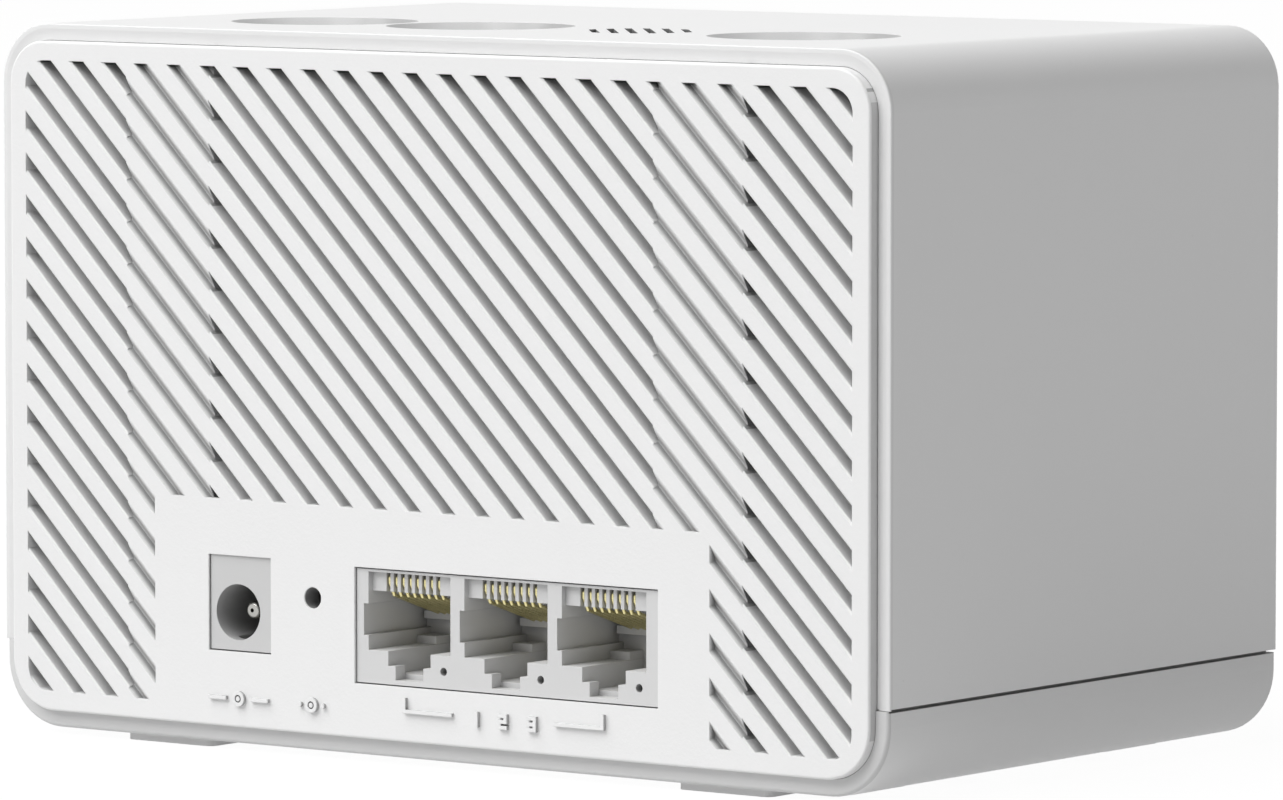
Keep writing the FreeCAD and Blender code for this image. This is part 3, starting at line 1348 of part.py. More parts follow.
def screw(name, x, y, head_low, shank, radius, head_radius, head_height, up):
    """A pan-head screw; its shank points up or down from the head."""
    head = rod(f"{name}_head", head_radius, head_height, x, y, head_low)
    if up:
        shaft = rod(f"{name}_shank", radius, shank, x, y, f"{head_low} + {head_height}")
        recess_low = f"{head_low} - overcut"
    else:
        shaft = rod(f"{name}_shank", radius, shank, x, y, f"{head_low} - {shank}")
        recess_low = f"{head_low} + {head_height} - drive_recess_depth"
    drive = rod(f"{name}_drive", "drive_recess_radius", "drive_recess_depth + overcut", x, y, recess_low)
    return cut(name, join(f"{name}_solid", head, shaft), drive)


def make_screws():
    shell_screws = [screw(f"housing_screw_{spot}", x, y,
                          f"({BOTTOM} + counterbore_depth - shell_screw_head_height)",
                          "shell_screw_length", "shell_screw_radius", "shell_screw_head_radius",
                          "shell_screw_head_height", True) for spot, x, y in PILLARS]
    keep("housing_screws", group("housing_screws", *shell_screws))
    board_screws = [screw(f"board_screw_{spot}", x, y, BOARD_HIGH,
                          "board_screw_length", "board_screw_radius",
                          "board_screw_head_radius", "board_screw_head_height", False)
                    for spot, x, y in POSTS]
    keep("board_screws", group("board_screws", *board_screws))


# ---------------------------------------------------------------- aerials and their leads

AERIAL_LOW = f"({CEILING} - aerial_drop - aerial_width / 2)"
AERIAL_Y = f"({RIM} - aerial_setback)"
TOP_AERIAL_Y = f"({FRONT} + top_aerial_setback)"


def make_aerials():
    """Four printed aerials stuck flat on the inside of the case, each with its own lead."""
    levels = (AERIAL_LOW, f"({AERIAL_LOW} + aerial_width)")
    along = (f"{AERIAL_Y} - aerial_length / 2", f"{AERIAL_Y} + aerial_length / 2")
    inner = f"({HALF_INSIDE} - aerial_thickness)"
    keep("antenna_left", block("antenna_left", (inner, HALF_INSIDE), along, levels))
    keep("antenna_right", block("antenna_right", (f"-{HALF_INSIDE}", f"-{inner}"), along, levels))
    across = ("-aerial_length / 2", "aerial_length / 2")
    front = f"({INSIDE_FRONT} + aerial_thickness)"
    keep("antenna_front", block("antenna_front", across, (INSIDE_FRONT, front), levels))
    depth = (f"{TOP_AERIAL_Y} - aerial_width / 2", f"{TOP_AERIAL_Y} + aerial_width / 2")
    keep("antenna_top", block("antenna_top", across, depth, (f"{CEILING} - aerial_thickness", CEILING)))


def jack_place(word):
    """Where each aerial's socket sits on the board, beside the heat sink."""
    inset = "front_jack_inset" if word == "front" else "jack_inset"
    sign = -1 if word == "right" else 1
    return f"({sign} * (board_width / 2 - {inset}))", f"({SINK_Y} + {word}_jack_shift)"


def make_aerial_sockets():
    sockets, plugs = [], []
    for word in ("left", "right", "front", "top"):
        x, y = jack_place(word)
        sockets.append(rod(f"board_jack_{word}", "jack_radius", "jack_height", x, y, BOARD_HIGH))
        plugs.append(rod(f"lead_plug_{word}", "plug_radius", "plug_height", x, y,
                         f"{BOARD_HIGH} + jack_height"))
    keep("antenna_sockets", group("antenna_sockets", *sockets))
    keep("antenna_plugs", group("antenna_plugs", *plugs))


def smooth_path(points):
    """Straight runs joined by tangent arcs, each as large as its two runs allow."""
    edges, radii = [], []
    start = points[0]
    for before, corner, after in zip(points, points[1:], points[2:]):
        to_before, to_after = before - corner, after - corner
        turn = math.pi - to_before.getAngle(to_after)
        reach = 0.45 * min(to_before.Length, to_after.Length)
        radii.append(reach / math.tan(turn / 2))
        to_before.normalize()
        to_after.normalize()
        enter, leave = corner + to_before * reach, corner + to_after * reach
        bisector = (to_before + to_after).normalize()
        centre = corner + bisector * math.hypot(reach, radii[-1])
        middle = centre + (corner - centre).normalize() * radii[-1]
        edges.append(Part.LineSegment(start, enter).toShape())
        edges.append(Part.Arc(enter, middle, leave).toShape())
        start = leave
    edges.append(Part.LineSegment(start, points[-1]).toShape())
    return Part.Wire(edges), radii


def make_lead(word, points):
    path, radii = smooth_path(points)
    radius = value("lead_radius")
    profile = Part.Wire(Part.Circle(points[0], points[1] - points[0], radius).toShape())
    solid = path.makePipeShell([profile], True, False)
    feature = doc.addObject("Part::Feature", f"antenna_lead_{word}")
    feature.Shape = solid
    keep(f"antenna_lead_{word}", feature)
    expected = math.pi * radius ** 2 * path.Length
    print(f"lead {word}: length {path.Length:.1f}, radii {[round(r, 1) for r in radii]},"
          f" volume ratio {solid.Volume / expected:.4f}")


def make_leads():
    """Each lead leaves its aerial, drops to the board and ends in the side of its plug."""
    radius = value("lead_radius")
    plug = value("plug_radius")
    level = value(f"{BOARD_HIGH} + jack_height + plug_height / 2")
    start = value(f"{AERIAL_LOW} + lead_overlap")
    drop = value(f"{AERIAL_LOW} - lead_drop")

    def jack(word, shift_x=0.0, shift_y=0.0):
        x, y = jack_place(word)
        return Vector(value(x) + shift_x, value(y) + shift_y, level)

    wall = value(f"{HALF_INSIDE} - aerial_thickness") - radius
    middle = value(AERIAL_Y)
    for word, sign in (("left", 1), ("right", -1)):
        make_lead(word, [Vector(sign * wall, middle, start),
                         Vector(sign * wall, middle, drop),
                         jack(word, shift_x=sign * value("side_lead_approach")),
                         jack(word, shift_x=sign * plug)])

    front = value(f"{INSIDE_FRONT} + aerial_thickness") + radius
    across = value("front_lead_x")
    sway = Vector(jack("front").x - value("front_lead_sway"), front + value("front_lead_stand"),
                  level + value("front_lead_lift"))
    make_lead("front", [Vector(across, front, start),
                        Vector(across, front, drop),
                        sway,
                        jack("front", shift_y=-value("front_lead_approach")),
                        jack("front", shift_y=-plug)])

    ceiling = value(f"{CEILING} - aerial_thickness") - radius
    depth = value(TOP_AERIAL_Y)
    aside = value(f"{HALF_INSIDE} - top_lead_wall_gap")
    bend = value("top_lead_bend")
    make_lead("top", [Vector(value("aerial_length / 2 - top_lead_start"), depth, ceiling),
                      Vector(value("aerial_length / 2 + top_lead_run"), depth, ceiling),
                      Vector(aside, depth, ceiling - bend),
                      Vector(aside, depth, level + bend),
                      jack("top", shift_x=value("top_lead_approach")),
                      jack("top", shift_x=plug)])


# ---------------------------------------------------------------- build, check and write

make_feet()
make_upper_shell()
make_base_shell()
make_rear_panel()
make_network_block()
make_power_socket()
make_reset_switch()
make_main_board()
make_chips()
make_shield()
make_heat_sink()
make_status_light()
make_screws()
make_aerials()
make_aerial_sockets()
make_leads()
doc.recompute()

for thing in doc.Objects:
    if {"Invalid", "Error"} & set(thing.State):
        raise RuntimeError(f"{thing.Name} did not build: {thing.State}")
for name, thing in nodes.items():
    if thing.Shape.isNull() or not thing.Shape.isValid() or not thing.Shape.Solids:
        raise RuntimeError(f"{name} has no valid solid")

os.makedirs("parts", exist_ok=True)
whole = FreeCAD.BoundBox()
for name, thing in nodes.items():
    thing.Shape.exportStep(f"parts/{name}.step")
    whole.add(thing.Shape.optimalBoundingBox(False))
print(f"{len(nodes)} parts, {whole.XLength:.2f} x {whole.YLength:.2f} x {whole.ZLength:.2f} mm")
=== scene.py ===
# %% [markdown]
# # A small white wireless router, seen from its socket side
#
# The router is a rounded box in two shells, with a slotted rear panel set into it, a row of
# sockets and a full set of electronics inside. Its shape comes from CAD, and every CAD piece
# keeps its own shape here. This lesson gives each piece the finish of the real thing: moulded
# plastics, rubber, plated metals and a printed circuit board. It also sets up a camera and
# plain studio light.

# %% Load the CAD model
import json
import math

import bmesh
import bpy
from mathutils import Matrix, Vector

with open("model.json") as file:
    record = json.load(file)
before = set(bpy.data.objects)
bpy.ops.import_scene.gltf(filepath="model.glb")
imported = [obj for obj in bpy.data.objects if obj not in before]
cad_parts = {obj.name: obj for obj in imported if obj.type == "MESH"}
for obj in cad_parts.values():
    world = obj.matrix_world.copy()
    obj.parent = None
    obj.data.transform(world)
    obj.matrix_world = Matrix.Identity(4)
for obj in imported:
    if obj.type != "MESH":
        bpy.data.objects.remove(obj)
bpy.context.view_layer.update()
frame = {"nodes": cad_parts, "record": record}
nodes = frame["nodes"]
MM = 0.001

# %% [markdown]
# ## Camera
#
# The view is a long-lens one, from behind the router and a little above its middle. A long
# lens keeps upright edges nearly parallel, as product views do. A camera could also be aimed
# with a constraint. Plain numbers are used here, so that the view never changes when a piece
# does.

# %% Place the camera
CAMERA_PLACE = Vector((-0.65849, 0.879455, 0.12952))
CAMERA_TURN = math.radians(36.779)     # away from square to the rear panel
CAMERA_DIP = math.radians(4.6513)      # down from level

camera_data = bpy.data.cameras.new("view")
camera_data.sensor_width = 36.0
camera_data.lens = 261.35
camera_data.clip_start = 0.05
camera_data.clip_end = 50.0
camera = bpy.data.objects.new("view", camera_data)
bpy.context.scene.collection.objects.link(camera)
camera.location = CAMERA_PLACE
looking = Vector((math.sin(CAMERA_TURN) * math.cos(CAMERA_DIP),
                  -math.cos(CAMERA_TURN) * math.cos(CAMERA_DIP),
                  -math.sin(CAMERA_DIP)))
camera.rotation_euler = looking.to_track_quat("-Z", "Y").to_euler()
bpy.context.scene.camera = camera
bpy.context.scene.view_settings.view_transform = "Standard"
print("camera is", round(CAMERA_PLACE.length, 3), "m from the origin")

# %% [markdown]
# ## Small helpers for materials
#
# Colours are written as the hex values of a colour picker. Blender mixes light in linear
# values, so one function turns them. A second one adds a node with its settings and its
# links in a single call. Nodes could be placed by hand in the editor, but then nobody could
# read in one go what a finish is made of, as in the short lists of steps below.

# %% Colour and node helpers
def linear(hex_colour):
    """An sRGB hex colour as the linear values that Blender mixes, with full alpha."""
    channels = [int(hex_colour[i:i + 2], 16) / 255 for i in (1, 3, 5)]
    return [c / 12.92 if c <= 0.04045 else ((c + 0.055) / 1.055) ** 2.4 for c in channels] + [1.0]


def add_node(owner, kind, settings=None, **links):
    """Add a node to a material or world, with its settings and its input sockets.

    Settings are attributes. Links are sockets by name, or by number after an underscore, each
    with a value or with another node's output.
    """
    tree = owner.node_tree
    node = tree.nodes.new(kind)
    for name, value in (settings or {}).items():
        setattr(node, name, value)
    for name, value in links.items():
        socket = node.inputs[int(name[1:]) if name[0] == "_" else name.replace("_", " ")]
        if isinstance(value, bpy.types.NodeSocket):
            tree.links.new(value, socket)
        else:
            socket.default_value = value
    return node


def new_material(name):
    """An empty node material, with the output node that its shader goes into."""
    material = bpy.data.materials.new(name)
    material.use_nodes = True
    material.node_tree.nodes.clear()
    return material, add_node(material, "ShaderNodeOutputMaterial")


def finish_material(material, output, shader):
    """Plug the shader into the output, and give the material back."""
    material.node_tree.links.new(shader.outputs[0], output.inputs["Surface"])
    return material


def per_mm(size):
    """The scale of a pattern whose features are this many millimetres across."""
    return 1.0 / (size * MM)


print("mid grey #808080 is", round(linear("#808080")[0], 3), "in linear light")

# %% [markdown]
# ## Telling shown rays from lighting rays
#
# A studio background burns out to white in a picture, and yet its light on the object is
# moderate. More lamps could whiten it, but they would wash the object out. The Light Path
# node does it better: it says whether a ray comes from the camera, from a glossy skin or
# through something clear. Those rays show the background, and all others only light the
# object.

# %% A helper for shown rays
WHITE = linear("#FFFFFF")      # shows as plain white at a strength of 1


def shown_rays(owner):
    """1 for rays that show the background, 0 for rays that only gather light."""
    rays = add_node(owner, "ShaderNodeLightPath")
    shown = rays.outputs["Is Camera Ray"]
    for other in ("Is Glossy Ray", "Is Transmission Ray"):
        shown = add_node(owner, "ShaderNodeMath", {"operation": "MAXIMUM"},
                         _0=shown, _1=rays.outputs[other]).outputs[0]
    return shown


print("the background's white is", WHITE)

# %% [markdown]
# ## Floor and background
#
# The router stands on a plain pale sweep of matt paper. A modelled sweep would curve up
# behind it. One flat sheet that reaches far back does as well at this low angle, because
# its far part burns out to white before its edge. A share of white glow does that here. A
# smaller share also reaches the router, as the light that bounces off the paper all round.

# %% Lay the floor
FLOOR_REACH = 12.0     # m, half of each side

floor_mesh = bpy.data.meshes.new("floor")
floor_shape = bmesh.new()
bmesh.ops.create_grid(floor_shape, x_segments=1, y_segments=1, size=FLOOR_REACH)
floor_shape.to_mesh(floor_mesh)
floor_shape.free()
floor = bpy.data.objects.new("floor", floor_mesh)
bpy.context.scene.collection.objects.link(floor)
print("floor is", 2 * FLOOR_REACH, "m wide")

# %% Give the floor its paper
GLOW_SHARE = 0.90      # the share of glow in what is shown
BOUNCE_SHARE = 0.18    # the share of glow in what lights the router
GLOW_STRENGTH = 1.07   # just over white, to make up for the share that is plain paper

# Matt paper has no sheen: it shows nothing but the router's soft shadow.
floor_material, floor_output = new_material("matt paper, pale")
floor_paper = add_node(floor_material, "ShaderNodeBsdfDiffuse", Color=linear("#C2C2C2"))
floor_glow = add_node(floor_material, "ShaderNodeEmission", Color=WHITE, Strength=GLOW_STRENGTH)
floor_share = add_node(floor_material, "ShaderNodeMapRange", Value=shown_rays(floor_material),
                       To_Min=BOUNCE_SHARE, To_Max=GLOW_SHARE)
floor_mix = add_node(floor_material, "ShaderNodeMixShader", Fac=floor_share.outputs["Result"],
                     _1=floor_paper.outputs[0], _2=floor_glow.outputs[0])
floor_mesh.materials.append(finish_material(floor_material, floor_output, floor_mix))
print("floor shows", GLOW_SHARE, "of its glow and lights with", BOUNCE_SHARE)

# %% [markdown]
# ## Light
#
# A white tent gives an even fill from all round. It could be a box of white sheets. The
# world itself is used instead, because it has no corners that a glossy skin could mirror. It
# is dimmer for light than for what is shown. Glossy skins mirror its white lower edge at a
# flat angle and a greyer ceiling higher up, as in a real tent that is lit from its sides.

# %% Put up the tent
TENT_LIGHT = 0.235                       # the strength that lights the router
CEILING_STRENGTH = 0.52                  # the strength that glossy skins mirror high up
CEILING_FROM, CEILING_TO = 0.12, 0.30    # the upward part of a ray's direction, from 0 to 1

world = bpy.data.worlds.new("white tent")
bpy.context.scene.world = world
world.use_nodes = True
world.node_tree.nodes.clear()
tent_place = add_node(world, "ShaderNodeTexCoord").outputs["Generated"]
tent_way = add_node(world, "ShaderNodeSeparateXYZ", Vector=tent_place)
tent_shown = add_node(world, "ShaderNodeMapRange", Value=tent_way.outputs["Z"],
                      From_Min=CEILING_FROM, From_Max=CEILING_TO, To_Min=1.0,
                      To_Max=CEILING_STRENGTH)
tent_strength = add_node(world, "ShaderNodeMix", {"data_type": "FLOAT"}, _0=shown_rays(world),
                         _2=TENT_LIGHT, _3=tent_shown.outputs["Result"])
tent = add_node(world, "ShaderNodeBackground", Color=WHITE, Strength=tent_strength.outputs[0])
add_node(world, "ShaderNodeOutputWorld", Surface=tent.outputs[0])
print("the tent lights at", TENT_LIGHT)

# %% [markdown]
# One large soft box hangs behind the router, up and to the left as the camera sees it. A sun
# lamp would cut a hard shadow into every slot. The box's size gives the soft turn from light
# to shade over the rounded corners. The right side gets none of it, only the tent and the
# bounce, which is why that side is an even grey while the rear panel is almost white.

# %% Hang the soft box
KEY_PLACE = Vector((0.87, 1.31, 2.11))
KEY_SIZE = 2.8                           # m, each side of the square
KEY_POWER = 89.0                         # W
KEY_AIM = Vector((0, 0, 0.045))          # the middle of the router

key = bpy.data.lights.new("key", "AREA")
key.shape = "SQUARE"
key.size = KEY_SIZE
key.energy = KEY_POWER
key_box = bpy.data.objects.new("key", key)
bpy.context.scene.collection.objects.link(key_box)
key_box.location = KEY_PLACE
key_box.rotation_euler = (KEY_AIM - KEY_PLACE).to_track_quat("-Z", "Y").to_euler()
key_box.visible_camera = False
print("the soft box hangs", round((KEY_PLACE - KEY_AIM).length, 2), "m away")

# %% [markdown]
# ## Painted shade that belongs to a place
#
# Some places on a white moulding are drawn darker than the lamps make them, with painted shade:
# the bottom of a slot, the inside of a pinhole, the groove of the seam. It could be painted on an
# image. Two procedural ways are used instead, because they stay sharp and fit the CAD sizes. The
# ambient occlusion node finds what lies deep between walls, and shade is painted there. A box in
# the router's own coordinates picks one known place, such as the seam, and paints it darker. Each
# gives a share from 0 to 1 that the colour is multiplied by.

# %% Helpers for painted shade
SHADE_SAMPLES = 8      # directions in which a spot looks for walls


def painted_deep_shade(material, reach, deep, own, open_share):
    """A share of painted shade, falling to deep where walls within reach, in mm, shut out the
    room.

    own looks only at the piece itself. A spot has none of this shade where at least
    open_share of its view is open.
    """
    painted_shade = add_node(material, "ShaderNodeAmbientOcclusion",
                     {"samples": SHADE_SAMPLES, "only_local": own}, Distance=reach * MM)
    return add_node(material, "ShaderNodeMapRange", Value=painted_shade.outputs["AO"],
                    From_Max=open_share, To_Min=deep, To_Max=1.0).outputs["Result"]


def zone_share(material, split, limits, share):
    """The share of painted shade inside the limits (axis, low, high), in mm, and 1 outside.

    The share is a number or a node's output. split is the node that holds X, Y and Z.
    """
    mask = 1.0
    for axis, low, high in limits:
        near = add_node(material, "ShaderNodeMath", {"operation": "COMPARE"},
                        _0=split.outputs[axis], _1=(low + high) / 2 * MM,
                        _2=(high - low) / 2 * MM)
        mask = add_node(material, "ShaderNodeMath", {"operation": "MULTIPLY"},
                        _0=near.outputs[0], _1=mask).outputs[0]
    return add_node(material, "ShaderNodeMapRange", Value=mask,
                    To_Min=1.0, To_Max=share).outputs["Result"]


print("each spot looks for walls in", SHADE_SAMPLES, "directions")

# %% [markdown]
# Two shades change over their place. The wall of a round dish is in full shade on one side
# and nearly clear on the other, and so again at each dish of the row. The floor of a blind
# slot is a ramp, so its shade deepens with the depth below the panel's face.

# %% Helpers for shade that changes
DISH_PITCH = 23.4              # mm from one dish to the next
DISH_SHARES = (0.5, 0.95)      # on the shaded side and on the clear side
DISH_RISE = (0.6, 0.9)         # where the one turns into the other, in parts of the pitch
PANEL_FACE = 39.975            # mm from the router's middle
FULL_SHADE, NO_SHADE = 0.7, 0.14         # mm below the panel's face
SLOT_FLOOR_SHARE = 0.58


def dish_share(material, split, limits):
    """The shade of the dishes' walls, which thins out along X and starts anew at each dish."""
    turn = add_node(material, "ShaderNodeMath", {"operation": "WRAP"},
                    _0=split.outputs["X"], _1=DISH_PITCH * MM, _2=0.0)
    start, end = (part * DISH_PITCH * MM for part in DISH_RISE)
    rising = add_node(material, "ShaderNodeMapRange", Value=turn.outputs[0], From_Min=start,
                      From_Max=end, To_Min=DISH_SHARES[0], To_Max=DISH_SHARES[1])
    return zone_share(material, split, limits, rising.outputs["Result"])


def slot_floor_share(material, split, limits):
    """The shade of the blind slots' floors, which deepens with the depth."""
    sunk = add_node(material, "ShaderNodeMapRange", Value=split.outputs["Y"],
                    From_Min=(PANEL_FACE - FULL_SHADE) * MM, From_Max=(PANEL_FACE - NO_SHADE) * MM,
                    To_Min=SLOT_FLOOR_SHARE, To_Max=1.0)
    return zone_share(material, split, limits, sunk.outputs["Result"])


print("a dish's shade thins out over", round((DISH_RISE[1] - DISH_RISE[0]) * DISH_PITCH, 1), "mm")

# %% [markdown]
# ## Moulded plastics
#
# The case is ABS. A moulded part copies its tool: a spark-eroded tool leaves a fine, even
# grain that scatters the highlight, a polished one leaves a smooth skin. A plain glossy
# shader looks like glazed china. A scanned image of plastic would blur in close views. So
# each plastic gets a procedural grain as a bump, slightly rounded edges that catch the light,
# and very faint clouds where the melt flowed.

# %% The colour of a moulding
FLOW = 18              # mm; the melt flows through the tool in clouds of about this width
FLOW_DEPTH = 0.012     # how much darker the clouds are; more would look like marble


def moulding_colour(material, place, hex_colour, painted_shade, shades):
    """One colour with faint flow clouds, multiplied by every share of painted shade."""
    flow = add_node(material, "ShaderNodeTexNoise", Vector=place, Scale=per_mm(FLOW), Detail=2.0)
    light = linear(hex_colour)
    dark = [channel * (1 - FLOW_DEPTH) for channel in light[:3]] + [1.0]
    colour = add_node(material, "ShaderNodeMix", {"data_type": "RGBA"},
                      Factor=flow.outputs["Fac"], _6=dark, _7=light).outputs[2]
    split = add_node(material, "ShaderNodeSeparateXYZ", Vector=place)
    shares = [painted_deep_shade(material, **painted_shade)] if painted_shade else []
    shares += [shade(material, split, *values) for shade, *values in shades]
    for share in shares:
        colour = add_node(material, "ShaderNodeMix",
                          {"data_type": "RGBA", "blend_type": "MULTIPLY"},
                          _0=1.0, _6=colour, _7=share).outputs[2]
    return colour


print("flow clouds are", FLOW, "mm wide and", 100 * FLOW_DEPTH, "% darker")

# %% The skin of a moulding
GRAIN = 0.45           # mm; real spark grain is about 0.05 mm, drawn coarser so that it shows
RELIEF = 0.004         # mm from the bottom to the top of the grain
EDGE = 0.12            # mm, the radius that a tool's edges leave
EDGE_SAMPLES = 6       # directions in which the soft edge looks for its neighbours
GLOSS_SPREAD = 0.05    # how far the roughness varies from grain to grain


def moulding_skin(material, place, roughness, grain, relief, edge):
    """The roughness of a grained skin, and the way that the skin faces."""
    fine = add_node(material, "ShaderNodeTexNoise", Vector=place, Scale=per_mm(grain),
                    Detail=2.0, Roughness=0.6)
    gloss = add_node(material, "ShaderNodeMapRange", Value=fine.outputs["Fac"],
                     To_Min=roughness - GLOSS_SPREAD, To_Max=roughness + GLOSS_SPREAD)
    soft_edge = add_node(material, "ShaderNodeBevel", {"samples": EDGE_SAMPLES}, Radius=edge * MM)
    bump = add_node(material, "ShaderNodeBump", Height=fine.outputs["Fac"], Strength=1.0,
                    Distance=relief * MM, Normal=soft_edge.outputs[0])
    return gloss.outputs["Result"], bump.outputs[0]


print("plastic grain is drawn", GRAIN, "mm across")

# %% A recipe for moulded plastic
PLASTIC_IOR = 1.53     # ABS; the other plastics here lie close to it


def moulded(name, hex_colour, roughness, grain=GRAIN, relief=RELIEF, edge=EDGE, ior=PLASTIC_IOR,
            painted_shade=None, shades=()):
    """Injection-moulded plastic; grain, relief and edge are in mm.

    The argument after ior holds the values of the painted shade of deep places. Each of shades is
    one of the other functions for painted shade, followed by its limits and its share.
    """
    material, output = new_material(name)
    place = add_node(material, "ShaderNodeTexCoord").outputs["Object"]
    colour = moulding_colour(material, place, hex_colour, painted_shade, shades)
    gloss, facing = moulding_skin(material, place, roughness, grain, relief, edge)
    shader = add_node(material, "ShaderNodeBsdfPrincipled", Base_Color=colour, Roughness=gloss,
                      IOR=ior, Normal=facing)
    return finish_material(material, output, shader)


print("the IOR of the case is", PLASTIC_IOR)

# %% [markdown]
# ### The case and its panel
#
# The upper shell, the base and the panel come from three tools, so they differ a little in
# grain. One shared finish would be simpler, but then the panel would melt into its rim. The
# upper shell is the glossiest: at a flat angle its top mirrors the white edge of the tent.
# The base is duller. The panel is the dullest, with spark grain all over, which also hides
# how the melt closes up between its many slots.
#
# The places below are in millimetres in the router's own frame: X to its left, Y to its
# rear, Z up.

# %% Name the shaded places
# Painted shade in the groove between the shells.
SEAM = (("Z", 10.785, 11.215), ("Y", -50, 38.55))              # the groove between the shells
REAR_RIM = (("Y", 38.3, 41),)                                  # the shells' rim round the panel
# Painted shade on the walls of the dishes in the top.
DISH_WALLS = (("Z", 83.67, 84.56), ("X", -47, 47), ("Y", 2, 26))
# Painted shade on the panel's edge that faces the rim.
PANEL_FLANK = (("X", -64, -62.4), ("Y", 30, 39.7))             # faces the narrow gap to the rim
# Painted shade inside the reset hole.
RESET_HOLE = (("X", 15.3, 18.2), ("Y", 30, 39.8), ("Z", 17.4, 20.3))
# Painted shadow on the flanks of the raised marks.
MARK_SIDES = (("Y", 39.995, 40.385),)                          # the flanks of the raised marks
# Painted shade at the corners where the slots end.
SLOT_ENDS = [((axis, low, high), ("Y", 30, 39.65))             # corners that get little light
             for axis, low, high in (("Z", 79.93, 80.3), ("X", 31.85, 32.2), ("X", -45.4, -45.0))]
# Painted shade on the floors of the blind slots, darker where the floor lies deeper.
STRIP_HALF = 6.25                                              # half the width of a strip
BLIND_STRIPS = [(("X", middle - STRIP_HALF, middle + STRIP_HALF), ("Z", 5, 80.5))
                for middle in (38.4, -38.8)]
print("the panel has", len(SLOT_ENDS), "lines of slot ends and", len(BLIND_STRIPS), "blind strips")

# %% Make the plastics of the case
# Reaching right across, this painted shade darkens the inside of the case, seen through the slots.
CASE_PAINTED_SHADE = dict(reach=200, deep=0.1, own=True, open_share=0.9)

# Fine grain and the lowest roughness of the three give a broad, soft sheen.
case_abs = moulded("moulded ABS, fine grain, white", "#F2F2F2", 0.3, painted_shade=CASE_PAINTED_SHADE,
                   shades=[(zone_share, SEAM, 0.58), (dish_share, DISH_WALLS),
                           (zone_share, REAR_RIM, 0.94)])
# The same plastic from a duller tool is nearly matt and mirrors little, so it looks greyer.
base_abs = moulded("moulded ABS, fine grain, dull white", "#F2F2F2", 0.48, painted_shade=CASE_PAINTED_SHADE,
                   shades=[(zone_share, SEAM, 0.58), (zone_share, REAR_RIM, 0.79)])
print("made", case_abs.name, "|", base_abs.name)

# %% Make the plastic of the panel
# Spark grain stands about six times higher here and breaks up every highlight: a dry white.
# Painted shade darkens its slots, its edge by the rim, the reset hole, the flanks of the marks,
# the slot ends and the floors of the blind slots.
panel_abs = moulded("moulded ABS, spark grain, white", "#F3F3F3", 0.5, relief=0.025,
                    painted_shade=dict(reach=2.5, deep=0.25, own=False, open_share=0.45),
                    shades=[(zone_share, PANEL_FLANK, 0.72), (zone_share, RESET_HOLE, 0.35),
                            (zone_share, MARK_SIDES, 0.5)]
                    + [(zone_share, end, 0.5) for end in SLOT_ENDS]
                    + [(slot_floor_share, strip) for strip in BLIND_STRIPS])
print("made", panel_abs.name, "with", len(panel_abs.node_tree.nodes), "nodes")

# %% [markdown]
# ### Sockets, feet and small mouldings
#
# Sockets are nylon, which stands the heat of soldering and is greyer and a little waxy. Their
# cavities are drawn darker than the face with painted shade, which stands in for the light that
# each bounce inside takes away. The inner faces could have a second, darker nylon. Painted shade
# from the ambient occlusion node is used here, because it finds what lies deep by itself and has
# no hard border. The feet are rubber: a soft moulding with a dull, dry skin. The switch body and
# its button are hidden inside, but a look through the reset hole finds them.

# %% Make the socket plastics and the rubber
# A waxy half gloss, with painted shade that makes the cavities grey.
socket_nylon = moulded("moulded nylon, light grey", "#DADADA", 0.45, relief=0.003, edge=0.08,
                       ior=1.54, painted_shade=dict(reach=4.0, deep=0.5, own=False, open_share=0.7))
# A touch greyer, with painted shade that makes its long bore dark.
power_nylon = moulded("moulded nylon, pale grey", "#D0D0D0", 0.4, relief=0.003, edge=0.08,
                      ior=1.54, painted_shade=dict(reach=8.0, deep=0.40, own=False, open_share=0.85))
# No sheen at all, and edges that look worn round.
foot_rubber = moulded("moulded rubber, white", "#F0F0F0", 0.75, relief=0.01, edge=0.2, ior=1.52)
# The body of the switch: glass-filled, black, with a slight gloss.
black_plastic = moulded("moulded PBT, black", "#1C1C1D", 0.4, edge=0.05)
# The button slides, so it is of a slippery plastic with a smooth, soft shine.
button_plastic = moulded("moulded acetal, grey", "#7C7C7C", 0.35, edge=0.05)
print("made", socket_nylon.name, "|", power_nylon.name, "|", foot_rubber.name)

# %% [markdown]
# ## Metals
#
# Plated wire is a thin, bright skin, so it mirrors the room and takes its own colour into
# the highlight. Sheet and extruded metal show the drawing direction as fine lines, which
# spread the highlight across them. The lines could be an anisotropic shader. A bump of
# stretched noise shows in close views as well, so it is used here.

# %% A recipe for metal
LINE_STRETCH = 0.03              # noise is drawn out about thirty times along the lines
LINE_WIDTH = 0.15                # mm; real lines are finer, drawn coarser so that they show
LINE_RELIEF = 0.003              # mm
DULLEST, BRIGHTEST = 1.25, 0.8   # times the roughness, from line to line


